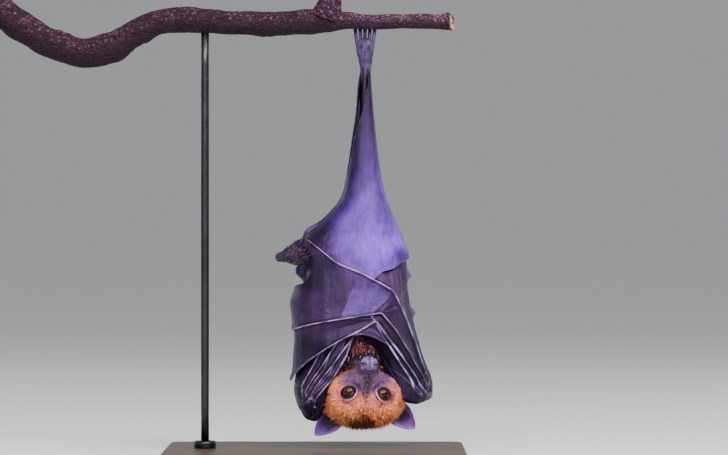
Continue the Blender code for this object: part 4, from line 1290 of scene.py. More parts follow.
    def relief(self, place: Array, normal: Array) -> Array:
        """Moves its places along their normals for the nose, lips, brow and cheeks.

        Each feature is a sum of Gaussian humps and grooves: amount * exp(-(distance / width)^2).

        Args:
            place: The surface in its own axes.
            normal: Its outward normals.

        Returns:
            The shaped surface.
        """
        right, up, ahead = np.moveaxis(place, -1, 0)
        away = np.abs(right)
        move = np.zeros(right.shape)
        for out, humps in ((away, self.paired), (right, self.single)):
            for at, amount, width in humps:
                distance = np.sqrt((out - at[0]) ** 2 + (up - at[1]) ** 2 + (ahead - at[2]) ** 2)
                move += amount * hump(distance, width)
        top, bridge = step_up(-2, 2, up), 1 - step_up(37, 40, ahead)
        cleft = hump(right, 1.0) * step_up(43, 45.5, ahead)
        move += -1.5 * cleft * step_up(-14, -7, up) * (1 - step_up(-2.5, 0.5, up))
        edge = hump(ahead - 40.6 - 0.06 * right**2, 1.2)
        move += -1.9 * edge * step_up(-6, -2, up) * (1 - step_up(6, 8, away))
        move += -0.9 * hump(right, 1.6) * step_up(22, 30, ahead) * bridge * top
        lip = up + 10.2 + 0.010 * (ahead - 30) ** 2 * (ahead < 30)
        move += -1.5 * hump(lip, 0.75) * step_up(12, 16, ahead) * step_up(0.5, 2, away)
        move += 0.7 * hump(lip - 1.8, 1.2) * step_up(14, 20, ahead)
        fine = 0.22 * ripple(place, 3.2, 31) * step_up(20, 30, ahead)
        fine = fine + 0.12 * ripple(place, 1.6, 32) * step_up(22, 34, ahead)
        wrinkles = 0.25 * np.sin(ahead * 2.4 + 0.5 * right) * step_up(26, 30, ahead)
        wrinkles = wrinkles * (1 - step_up(37, 39, ahead)) * top
        return place + normal * (move + fine + wrinkles)[..., None]

    def build(self) -> bpy.types.Object:
        """Its skin as one closed form, with the eyes' sockets."""
        place = self.surface()
        place = self.relief(place, grid_normals(place))
        for side in Side:
            place = Eye(side).socket(place)
        return piece("skin", *lofted(self.to_model(place)))


def grid_normals(points: Array) -> Array:
    """Outward unit normals of a grid of rings.

    Args:
        points: Rings of points.

    Returns:
        A unit vector for each point.
    """
    around = (np.roll(points, -1, 1) - np.roll(points, 1, 1)) / 2
    normal = np.cross(np.gradient(points, axis=0), around)
    normal /= np.maximum(np.linalg.norm(normal, axis=-1), 1e-9)[..., None]
    outward = np.sign((normal * (points - points.mean(1, keepdims=True))).sum(-1).mean())
    return normal * outward


@dataclass(frozen=True)
class Eye:
    """An eyeball with its cornea, its socket and the rim of its lids.

    Attributes:
        side: Which eye.
        radius: The eyeball's radius.
        at: Its centre in the head's axes, on the right side.
        look: Which way it looks.
        lids: Half angles of the lids' opening, the long way and the high way, in degrees.
        steps: Rings of the ball, and points in a ring.
        rim_steps: Places along the rim, and round it.
    """

    side: Side
    radius: float = 7.5
    at: Point = (16.4, 9.6, 15.9)
    look: Point = (0.29, 0.60, 0.71)
    lids: Place = (66.0, 52.0)
    steps: tuple[int, int] = (56, 72)
    rim_steps: tuple[int, int] = (120, 14)

    def frame(self) -> tuple[Array, Array, Array, Array]:
        """Its centre, and its long, high and outward axes, in the head's own axes."""
        mirror = np.array((self.side.value, 1, 1))
        look = np.array(self.look) / np.linalg.norm(self.look) * mirror
        long_way = np.array((0.62 * self.side.value, 0.06, -0.62))
        long_way -= look * (long_way @ look)
        long_way /= np.linalg.norm(long_way)
        return np.array(self.at) * mirror, long_way, np.cross(look, long_way), look

    def reach(self, spread: Array) -> Array:
        """Half angle of the lids' opening, in degrees, in a direction round the axis."""
        return 1 / np.sqrt((np.cos(spread) / self.lids[0]) ** 2 + (np.sin(spread) / self.lids[1]) ** 2)

    def ratio(self, offset: Array) -> Array:
        """How far out a direction from its centre is, where 1 is the edge of the lids."""
        size = np.maximum(np.linalg.norm(offset, axis=-1), 1e-9)
        a, b, c = (offset @ way / size for way in self.frame()[1:])
        return np.degrees(np.arccos(np.clip(c, -1, 1))) / self.reach(np.arctan2(b, a))

    def socket(self, place: Array) -> Array:
        """Shapes the head's places into its socket, with the lids drawn over the eyeball.

        With q the offset from the centre and s its ratio: inside the opening |q| becomes 0.78 R, over the
        lids R + 0.9 mm, and from s = 1.15 to 2.15 it eases back to the head's own surface.
        """
        centre = self.frame()[0]
        offset = place - centre
        size, ratio = np.linalg.norm(offset, axis=-1), self.ratio(offset)
        deep, over = 0.78 * self.radius, self.radius + 0.9
        shaped = np.where(ratio < 1.0, deep + (over - deep) * step_up(0.86, 1.0, ratio), over)
        back = step_up(1.15, 2.15, ratio)
        target = (1 - back) * shaped + back * size
        near = 1 - step_up(13.0, 16.0, size)
        target = near * target + (1 - near) * size
        return centre + offset * (target / size)[..., None]

    def ball(self) -> bpy.types.Object:
        """The eyeball: a ball with a low dome over the iris, turned to look out of the lids."""
        centre, long_way, high_way, look = self.frame()
        rings, sides = self.steps
        rise, turn = np.radians(np.linspace(1.5, 178.5, rings)), circle(sides)
        radius = self.radius * (1 + 0.07 * hump(np.degrees(rise), 34))
        ring = np.cos(turn)[:, None] * long_way + np.sin(turn)[:, None] * high_way
        ring = np.sin(rise)[:, None, None] * ring
        points = centre + radius[:, None, None] * (ring + np.cos(rise)[:, None, None] * look)
        angle = np.concatenate((np.repeat(np.degrees(rise), sides), (0.0, 180.0)))
        tint = self.colour(angle, np.concatenate((np.tile(turn, rings), (0.0, 0.0))))
        return piece(f"eye_{self.side.word}_ball", *lofted(HEAD.to_model(points)), tint)

    def colour(self, angle: Array, turn: Array) -> Array:
        """The ball's colour by the angle from its axis: pupil, streaked red-brown iris, dark rim, white.

        Args:
            angle: Angles from its axis, in degrees.
            turn: Angles round its axis.

        Returns:
            Linear colours.
        """
        streak = 1 + 0.22 * np.sin(37 * turn) * np.sin(11 * turn + 1)
        iris = np.array((0.062, 0.012, 0.007)) * streak[:, None]
        colour = np.array((0.003, 0.002, 0.003)) + (iris - 0.003) * step_up(22, 30, angle)[:, None]
        colour = blend(colour, (0.008, 0.004, 0.006), step_up(40, 48, angle))
        return blend(colour, (0.022, 0.012, 0.016), step_up(56, 64, angle))

    def rim(self) -> bpy.types.Object:
        """The lids' rim: a rounded cord along the opening, thicker and paler towards the crown."""
        centre, long_way, high_way, look = self.frame()
        count, sides = self.rim_steps
        turn, roll = circle(count), circle(sides)[None, :, None]
        reach = np.radians(self.reach(turn) * (0.98 + 0.20 * np.abs(np.cos(turn)) ** 8))[:, None]
        outward = np.cos(turn)[:, None] * long_way + np.sin(turn)[:, None] * high_way
        way = np.sin(reach) * outward + np.cos(reach) * look
        across = np.cos(reach) * outward - np.sin(reach) * look
        crown = step_up(-0.7, 0.6, self.side.value * np.sin(turn))
        thick = 0.62 + 0.24 * crown + 0.12 * ripple(way, 0.7, 41)
        cord = np.cos(roll) * across[:, None] * 1.45 + np.sin(roll) * way[:, None]
        points = centre + (self.radius + 0.75) * way[:, None] + thick[:, None, None] * cord
        tint = np.where(np.cos(roll) < -0.35, np.array((0.020, 0.010, 0.020)), np.array((0.40, 0.31, 0.56)))
        tint = tint * (0.16 + 1.35 * crown)[:, None, None]
        s = np.arange(sides)
        t, last = (s + 1) % sides, (count - 1) * sides
        faces = np.vstack((grid_faces(count, sides, True), np.column_stack((last + s, last + t, t, s))))
        return piece(f"eye_{self.side.word}_lids", HEAD.to_model(points), [faces], tint.reshape(-1, 3))


HEAD = Head()


# ---------------------------------------------------------------- ears


@dataclass(frozen=True)
class Ear:
    """A cupped leaf from its base on the head to its tip, hollow to the front.

    Attributes:
        side: Which ear.
        base: Middle of its root.
        tip: Its tip.
        side_way: About which way it is wide.
        width: Half its greatest width.
        cup: How deep its hollow is.
        outline: Its half width along it, as places and shares.
        steps: Rows along it, and points across.
    """

    side: Side
    base: Point
    tip: Point
    side_way: Point
    width: float
    cup: float = 5.5
    outline: tuple = (0, 0.2, 0.4, 0.6, 0.78, 0.9, 0.97, 1.0), (0.8, 0.97, 1.0, 0.86, 0.60, 0.36, 0.16, 0.02)
    steps: tuple[int, int] = (64, 41)

    def surface(self, along: Array, across: Array, inset: Array) -> Array:
        """Places on its hollow side: base + s axis + w(s) a way + (cup (1 - a^2)(1 - 0.75 s) + inset) hollow.

        Args:
            along: s, from 0 at the root to 1 at the tip.
            across: a, from -1 to 1.
            inset: How far towards the back.

        Returns:
            Points of the model.
        """
        axis = np.array(self.tip) - self.base
        length = np.linalg.norm(axis)
        axis = axis / length
        way = np.array(self.side_way) - axis * (np.array(self.side_way) @ axis)
        way /= np.linalg.norm(way)
        hollow = np.cross(axis, way)
        hollow = hollow * np.sign(hollow[1])
        half = self.width * smooth(*self.outline, along)
        deep = self.cup * (1 - across**2) * (1 - 0.75 * along) + inset
        leaf = np.array(self.base, float) + along[..., None] * (axis * length)
        return leaf + (half * across)[..., None] * way + deep[..., None] * hollow

    def build(self) -> bpy.types.Object:
        """The ear, closed between its hollow and its back, thick at the root and thin at the margin."""
        rows, wide = self.steps
        along = shares(rows) + np.zeros((1, wide))
        across = np.sin(np.linspace(-math.pi / 2, math.pi / 2, wide))[None] + np.zeros((rows, 1))
        curl = 0.9 * hump(np.abs(across) - 0.86, 0.10) * (1 - along)
        folds = 0.18 * np.sin(across * 16) * (1 - along) * (1 - across**2)
        thick = 0.5 + 1.2 * (1 - across**2) * (1 - along) ** 1.2
        sides = [self.surface(along, across, inset).reshape(-1, 3) for inset in (folds - curl, thick + 0.05)]
        place = np.concatenate(sides)
        cells, count = grid_faces(rows, wide), rows * wide
        last = (rows - 1) * wide
        edges = np.arange(wide), np.arange(1, rows) * wide + wide - 1, last + np.arange(wide - 2, -1, -1)
        rim = np.concatenate((*edges, np.arange(rows - 2, 0, -1) * wide))
        after = np.roll(rim, -1)
        closing = np.column_stack((rim, after, after + count, rim + count))
        edge = np.maximum(step_up(0.45, 0.9, np.abs(across)), step_up(0.55, 0.9, along))
        tint = np.array((0.010, 0.005, 0.010)) + edge[..., None] * (np.array((0.12, 0.05, 0.20)) - 0.010)
        back = np.array((0.045, 0.020, 0.065)) + np.zeros(tint.shape)
        tints = np.concatenate((tint.reshape(-1, 3), back.reshape(-1, 3)))
        tints *= (1 + 0.18 * ripple(place, 4, 51))[:, None]
        name = f"ear_{self.side.word}_skin"
        return cleaned(piece(name, place, [cells, cells[:, ::-1] + count, closing], tints), 2e-5)


EARS = (
    Ear(Side.LEFT, (-24, -19, 50.5), (-49.8, -15, 25.6), (1, 0, -0.75), 11.8),
    Ear(Side.RIGHT, (24.5, -19, 56), (49.6, -16, 32.2), (1, 0, 0.65), 12.2),
)


# ---------------------------------------------------------------- body and feet


@dataclass(frozen=True)
class Body:
    """Neck, trunk and legs.

    Attributes:
        torso: Height, then the middle's X and Y, half width, and reach forward and back, to the coat's tips.
        coat: How far the coat's tips stand out, as heights and depths.
        thigh: Stations of the tucked leg: X, Y, height and radius.
    """

    torso: tuple = (
        (54, 0.5, -7, 12, 8, 8), (58, 0.5, -8, 22, 14, 14), (68, 0.0, -9, 29, 20, 20),
        (80, -1.5, -9, 33, 24, 24), (92, -3.0, -7, 35, 27, 27), (104, -4.5, -4, 38, 30, 30),
        (114, -5.5, -1, 38.5, 32, 32), (128, -9.0, 0, 37.5, 32.5, 34), (145, -11, 0, 37, 32, 35.5),
        (162, -12.5, 0, 36.5, 31, 35), (180, -12, 0, 34.5, 26, 33), (198, -11, 0, 32, 21, 30.5),
        (214, -10.5, 0, 29, 18.5, 27.5), (230, -9.5, 0, 21.5, 15, 23), (246, -7, 0, 14.8, 11.5, 17),
        (258, -5, 0.2, 11.0, 9.5, 12.5), (268, -3, 0.5, 9.6, 9.2, 9.8), (300, -1.5, 0.6, 7.0, 7.0, 7.0),
        (326, -0.5, 1.0, 5.6, 5.6, 5.6), (345, -0.2, 1.0, 4.2, 4.2, 4.2), (360, 0.0, 1.0, 3.9, 3.9, 3.9),
        (391, 0.5, 1.5, 3.4, 3.4, 3.4), (397, 0.5, 1.5, 4.8, 2.4, 2.4),
    )
    coat: tuple = (54, 70, 120, 230, 300, 340, 397), (1.5, 3.0, 3.2, 2.6, 1.2, 0.4, 0.2)
    thigh: Stations = (
        (-44, 4, 209, 14.5), (-54, 3, 208.5, 14.5), (-63, 2, 207, 12.8), (-70, 2, 206, 10.6),
        (-78, 2, 204.5, 7.4), (-85.5, 2, 202.5, 4.8),
    )

    def trunk(self) -> bpy.types.Object:
        """Neck, trunk and the hanging leg as one closed form, drawn in by the coat's depth."""
        z = np.concatenate((np.linspace(54, 120, 50), np.linspace(121.2, 397, 170)))
        run, *columns = np.array(self.torso, float).T
        x, y, half, fore, aft = (smooth(run, column, z)[:, None] for column in columns)
        inset, z = smooth(*self.coat, z)[:, None], z[:, None]
        turn = circle(120)
        depth = np.where(np.sin(turn)[None] < 0, fore - inset, aft - inset)
        across = x + (half - inset) * np.cos(turn)
        points = np.stack((across, y + depth * np.sin(turn), np.broadcast_to(z, depth.shape)), -1)
        out = grid_normals(points)
        knee = 0.8 * hump(np.linalg.norm(points - (-0.5, -4, 327), axis=-1), 6)
        bony = 0.35 * ripple(points * (1, 1, 0.3), 4, 61) * step_up(300, 345, points[..., 2])
        lumps = 0.6 * ripple(points, 14, 62) * (1 - step_up(240, 300, points[..., 2]))
        return piece("torso", *lofted(points + out * (lumps + knee + bony)[..., None]))

    def tucked_leg(self) -> bpy.types.Object:
        """The tucked leg's thigh and knee, creased across towards the knee."""
        points, faces = lofted(limb_rings(self.thigh, 60, 72, 0.72))
        cross = 0.25 * np.sin(points[:, 0] * 2.1 + ripple(points, 9, 64)) * step_up(-60, -72, points[:, 0])
        return piece("thigh", points + (ripple(points, 7, 63) * 0.5 + cross)[:, None] * (0, 0.5, 1), faces)

    def build(self) -> bpy.types.Object:
        """Head, neck, trunk, both legs and the gripping foot joined into one skin."""
        skin = HEAD.build()
        for part in (self.trunk(), self.tucked_leg(), FOOT.pad(), *FOOT.toes()):
            joined(skin, part)
        skin.name = skin.data.name = "body_skin"
        return cleaned(skin, 2e-6)


def claw(name: str, line: Array) -> bpy.types.Object:
    """A curved claw whose radius narrows as 1.05 (1 - s^1.6) + 0.10 mm."""
    run = np.linspace(0, 1, len(line))
    return piece(name, *lofted(rings_along(line, 1.05 * (1 - run**1.6) + 0.10, 16)))


@dataclass(frozen=True)
class Foot:
    """The right foot, which grips the branch.

    Attributes:
        grip_z: Height of the branch's middle there.
        grip_r: The branch's radius.
        toe_r: How far a toe's axis stands off the bark.
        spread: How far the outer toes are from the middle one.
        sole: Stations of the sole: X, Y, height and radius.
    """

    grip_z: float = 438.5
    grip_r: float = 7.5
    toe_r: float = 1.9
    spread: float = 9.8
    sole: Stations = (
        (0.5, 1.5, 380, 4.6), (0.6, 1.5, 390, 5.4), (0.4, 1.5, 400, 6.8), (0.0, 1.5, 408, 7.9),
        (0.0, 1.5, 415.5, 8.4),
    )

    def hook(self, share: float, first: float, last: float, count: int, sink: float = 0.0) -> Array:
        """An arc round the branch: reach (cos a, sin a), with a reach that shrinks by sink.

        Args:
            share: Which toe, from -1 to 1.
            first: The angle it starts at, in degrees.
            last: The angle it ends at.
            count: How many places.
            sink: How far its end lies below its start.

        Returns:
            Points of the arc.
        """
        arc = np.radians(np.linspace(first, last, count))
        reach = self.grip_r + self.toe_r - sink * np.linspace(0, 1, count)
        x = np.full(count, self.spread * share)
        return np.column_stack((x, reach * np.cos(arc), self.grip_z + reach * np.sin(arc)))

    def pad(self) -> bpy.types.Object:
        """The sole, ridged by the tendons that fan out to the toes."""
        points, faces = lofted(limb_rings(self.sole, 40, 36, 0.46))
        pitch = 1.2 + 0.085 * np.maximum(points[:, 2] - 388, 0)
        tendon = 0.35 * np.cos(points[:, 0] * 2 * math.pi / pitch) * step_up(395, 405, points[:, 2])
        points[:, 1] += tendon * np.sign(points[:, 1] - 1.5)
        return piece("sole", points, faces)

    def toe(self, share: float) -> bpy.types.Object:
        """A toe from the sole up behind the branch and over its top, with knuckle pads.

        Args:
            share: Where it stands in the foot, from -1 to 1.

        Returns:
            The toe.
        """
        start = ((6.2 * share, 1.2, 405.0), (7.4 * share, 1.2, 413.0), (8.6 * share, 2.0, 420.5))
        line = np.vstack((np.array(start), self.hook(share, -52, 44, 34)))
        run = np.linspace(0, 1, len(line))
        radii = 1.85 - 0.45 * run
        for at, size, width in ((0.52, 0.26, 0.06), (0.78, 0.20, 0.07), (0.22, 0.30, 0.05)):
            radii = radii + size * hump(run - at, width)
        return piece("toe", *lofted(domed(line, radii, 18)))

    def toes(self) -> list[bpy.types.Object]:
        """The five toes."""
        return [self.toe((k - 2) / 2) for k in range(5)]

    def claws(self) -> list[bpy.types.Object]:
        """Five claws hooked over the top of the branch."""
        return [claw(f"claw_{k + 1}", self.hook((k - 2) / 2, 36, 80, 22, 2.6)) for k in range(5)]


FOOT = Foot()


@dataclass(frozen=True)
class Thumb:
    """A thumb, a short tapered finger that hangs out of the wrist, and its hooked claw.

    Attributes:
        side: Which thumb.
        stations: Its stations: angle in degrees, height, lift and radius.
    """

    side: Side
    stations: Stations

    def build(self) -> bpy.types.Object:
        """The thumb's skin."""
        points, faces = lofted(domed(*arm_line(self.stations, 24), 20))
        tint = np.array(GLOOM) * (0.9 + 0.25 * ripple(points, 5, 23))[:, None]
        return piece(f"thumb_{self.side.word}", points, faces, tint)

    def hook(self) -> bpy.types.Object:
        """Its claw, 6 mm along the thumb and bent by 2.4 t^2."""
        line, _ = arm_line(self.stations, 20)
        ahead = line[-1] - line[-4]
        ahead /= np.linalg.norm(ahead)
        t = np.linspace(-0.15, 1, 18)[:, None]
        bend = np.array((0, 0.5, -1.0)) * 2.4 * t**2
        return claw(f"thumb_claw_{self.side.word}", line[-1] + ahead * 6.0 * t + bend)


THUMBS = (
    Thumb(
        Side.RIGHT,
        ((60, 63, -5.4, 2.4), (55, 64, -5.4, 2.2), (50, 67, -5.2, 1.6), (46, 71, -5.0, 0.8)),
    ),
    Thumb(
        Side.LEFT,
        ((-71, 51, -3.8, 1.9), (-67, 49, -3.8, 1.7), (-63, 48.5, -3.8, 1.4), (-59.5, 49, -3.8, 0.7)),
    ),
)


# ---------------------------------------------------------------- markings and coat

GOLD: Colour = (1.000, 0.205, 0.062)
ROSE: Colour = (0.950, 0.165, 0.170)
MUZZLE_TOP: Colour = (0.125, 0.052, 0.125)
MUZZLE: Colour = (0.034, 0.012, 0.030)
NOSE: Colour = (0.210, 0.145, 0.360)
# Nearly black, painted as the shade inside the nostrils
NOSTRIL: Colour = (0.003, 0.0015, 0.003)
EYE_RING: Colour = (0.040, 0.016, 0.034)
CROWN: Colour = (0.170, 0.034, 0.012)
TIP: Colour = (1.000, 0.330, 0.130)
STRAW: Colour = (1.000, 0.720, 0.430)
SILVER: Colour = (0.620, 0.400, 0.600)
THROAT: Colour = (0.050, 0.014, 0.010)
CHEST: Colour = (0.120, 0.024, 0.013)
SHADOW: Colour = (0.012, 0.005, 0.007)
MANTLE: Colour = (0.420, 0.160, 0.050)
BACK: Colour = (0.050, 0.028, 0.022)
LEG: Colour = (0.045, 0.025, 0.068)
KNEE: Colour = (0.024, 0.012, 0.034)
FOOT_SKIN: Colour = (0.032, 0.019, 0.060)


def headness(points: Array) -> Array:
    """1 on the head and 0 off it, by the head's own sections.

    Args:
        points: Points of the model.

    Returns:
        Shares from 0 to 1.
    """
    right, up, ahead = np.moveaxis(HEAD.places(points), -1, 0)
    middle, half, over, under = HEAD.section(ahead, np.zeros(ahead.shape))
    tall = np.where(up > middle, over, under)
    ratio = np.hypot(right / half, (up - middle) / tall)
    face = step_up(2, 7, ahead) * step_up(-24, -19, up) * (1 - step_up(1.6, 1.9, ratio))
    return np.maximum(face, (1 - step_up(1.04, 1.14, ratio)) * step_up(-42, -37, ahead))


def on_knee(points: Array) -> Array:
    """Whether places lie on the tucked leg."""
    return (points[..., 0] < -38) & (points[..., 2] > 195) & (points[..., 2] < 235)


def beside_eye(place: Array) -> Array:
    """How far out from the nearer eye's opening a place is: 1 at the lids' edge, and 9 away from both.

    Args:
        place: Places in the head's axes.

    Returns:
        The ratio at each place.
    """
    ratio = np.full(place.shape[:-1], 9.0)
    for side in Side:
        offset = place - Eye(side).frame()[0]
        near = np.linalg.norm(offset, axis=-1) < 13.5
        ratio = np.where(near, np.minimum(ratio, Eye(side).ratio(offset)), ratio)
    return ratio


def from_eye(place: Array) -> Array:
    """How far a place in the head's axes is from the middle of the eye on its own side."""
    x, y, z = Eye.at
    side = np.sign(place[..., 0])
    return np.linalg.norm(place - np.stack((side * x, 0 * side + y, 0 * side + z), -1), axis=-1)


def head_colour(points: Array) -> Array:
    """The face's markings: gold coat, rose round the eyes, dark muzzle and crown, violet nose.

    Args:
        points: Points of the model.

    Returns:
        Linear colours. Each marking's share is a product of smoothsteps in the head's own axes.
    """
    place = HEAD.places(points)
    right, up, ahead = np.moveaxis(place, -1, 0)
    away, warp = np.abs(right), 2.2 * ripple(points, 9, 71)
    wavy = ahead + 0.6 * warp
    bridge = hump(right, 3.2 + 0.16 * np.clip(ahead - 14, 0, 12)) * step_up(8, 18, wavy)
    patch = np.hypot(right / 13.0, (ahead + 9) / 13.0) + 0.07 * warp
    pit = np.hypot((away - 5.7) / 1.7, up + 3.1 + 0.75 * (away - 5.7))
    pad_side = np.hypot(right, 0.5 * (up + 4))
    colour = np.zeros(points.shape) + np.array(GOLD)
    for other, share in (
        (ROSE, 0.85 * (1 - step_up(10, 19, from_eye(place) + warp))),
        (ROSE, 0.8 * step_up(8, 16, ahead + warp) * (1 - step_up(10, 16, away))),
        (MUZZLE_TOP, step_up(14, 22, wavy)),
        (MUZZLE, np.maximum(0.92 * bridge, 0.75 * step_up(30, 38, ahead))),
        (THROAT, (1 - step_up(-19, -11, up + warp)) * (1 - step_up(24, 30, ahead))),
        (EYE_RING, 1 - step_up(1.26, 1.55, beside_eye(place))),
        (CROWN, (1 - step_up(0.75, 1.1, patch)) * step_up(5, 12, up)),
        (NOSE, step_up(41.0, 42.5, ahead + 0.05 * np.minimum(right**2, 50) - 1.0)),
        # painted shade in the cleft between the nostrils
        (MUZZLE, 0.65 * step_up(44, 45.5, ahead) * hump(right, 0.75)),
        (MUZZLE, 0.8 * step_up(7.0, 9.5, pad_side) * (ahead > 40)),
        (MUZZLE, 0.55 * step_up(0.0, 0.7, ripple(points, 2.4, 77)) * (ahead > 40)),
        # painted shade in the nostrils' pits
        (NOSTRIL, (1 - step_up(1.3, 1.8, pit)) * (ahead > 43)),
    ):
        colour = blend(colour, other, share)
    return colour


def coat_colour(points: Array) -> Array:
    """The markings shared by skin and coat: head, chest and mantle, dark back, bare leg and foot.

    Args:
        points: Points of the model.

    Returns:
        Linear colours.
    """
    z = points[..., 2]
    knee = np.linalg.norm((points - (-66, 10, 212)) * (0.6, 1, 1), axis=-1)
    warp = 4 * ripple(points, 12, 72)
    window = np.maximum(np.abs(points[..., 0] - 4) / 15, np.abs(z - 114) / 11) + 0.03 * warp
    colour = np.zeros(points.shape) + np.array(MANTLE)
    for other, share in (
        (SHADOW, 1 - step_up(-12, 0, points[..., 1])),
        (CHEST, (1 - step_up(0.75, 1.15, window)) * (points[..., 1] < -6)),
        (BACK, step_up(108, 138, z + warp)),
        (LEG, step_up(300, 335, z)),
        (SHADOW, step_up(335, 350, z) * (1 - step_up(386, 392, z))),
        (FOOT_SKIN, step_up(380, 400, z)),
        (KNEE, (1 - step_up(20, 30, knee)) * step_up(195, 202, z)),
    ):
        colour = blend(colour, other, share)
    colour = colour * (1 + 0.55 * ripple(points * (1, 1, 0.4), 2.2, 76) * step_up(380, 395, z))[..., None]
    share = headness(points)[..., None]
    colour = share * head_colour(points) + (1 - share) * colour
    return np.clip(colour * (1 + 0.13 * ripple(points, 5, 73))[..., None], 0, 1)


def coat_length(points: Array) -> Array:
    """How long the coat is, in millimetres; 0 where the skin is bare.

    Args:
        points: Points of the model.

    Returns:
        The length at each point.
    """
    place = HEAD.places(points)
    _, up, ahead = np.moveaxis(place, -1, 0)
    head = smooth((-36, -8, 6, 16, 25, 31, 37, 40.5), (9.0, 9.5, 7.5, 4.6, 3.0, 1.7, 0.9, 0.0), ahead)
    head = head * (0.24 + 0.76 * step_up(8.5, 18, from_eye(place))) * step_up(1.2, 1.5, beside_eye(place))
    head = head * (1 - 0.6 * (1 - step_up(-12, -5, up)) * step_up(8, 18, ahead))
    z = points[..., 2]
    body = smooth((54, 80, 120, 200, 262, 300, 325, 345), (7.0, 8.0, 8.0, 7.0, 5.5, 3.4, 2.2, 0.0), z)
    knee = smooth((-88, -80, -60, -45), (1.8, 2.6, 4.0, 4.5), points[..., 0])
    body = np.where(on_knee(points), knee, body)
    share = headness(points)
    return share * head + (1 - share) * body


def coat_lie(points: Array, normals: Array) -> Array:
    """The way the coat lies: from the nose to the nape on the head, towards the tail on the body.

    Args:
        points: Roots of the tufts.
        normals: The skin's normals there.

    Returns:
        Unit vectors square to the normals, turned a little by noise.
    """
    right, up, ahead = HEAD.axes()
    place = HEAD.places(points)
    away = place[..., 0][:, None] / 30 * right + np.maximum(place[..., 1], 0)[:, None] / 60 * up
    body = np.zeros(points.shape) + np.array((0, 0, 1.0))
    body[on_knee(points)] = (-0.9, 0, -0.2)
    share = headness(points)[:, None]
    way = share * (-ahead + 0.75 * away) + (1 - share) * body
    way = way + 0.32 * np.stack([ripple(points, 10, 80 + k) for k in range(3)], -1)
    way -= normals * (way * normals).sum(1)[:, None]
    return way / np.maximum(np.linalg.norm(way, axis=1), 1e-6)[:, None]


def unwrapped(points: Array) -> Array:
    """The skin's own unwrap: round the head and along it, round the body and up it, and along the thigh.

    Args:
        points: Points of the skin.

    Returns:
        Their places on the map, from 0 to 1.
    """
    place = HEAD.places(points)
    head = (0.25 + 0.24 * np.arctan2(place[:, 1], place[:, 0]) / math.pi, 0.02 + (place[:, 2] + 42) / 96)
    turn = np.arctan2(points[:, 1], points[:, 0] + 6)
    body = np.stack((0.75 + 0.24 * turn / math.pi, 0.02 + (points[:, 2] - 50) / 420), -1)
    knee = on_knee(points)
    turn = np.arctan2(points[:, 2] - 214, points[:, 1] - 9)
    body[knee] = np.stack((0.75 + 0.24 * turn / math.pi, 0.88 + (points[:, 0] + 92) / 500), -1)[knee]
    return np.where(headness(points)[:, None] > 0.5, np.stack(head, -1), body)


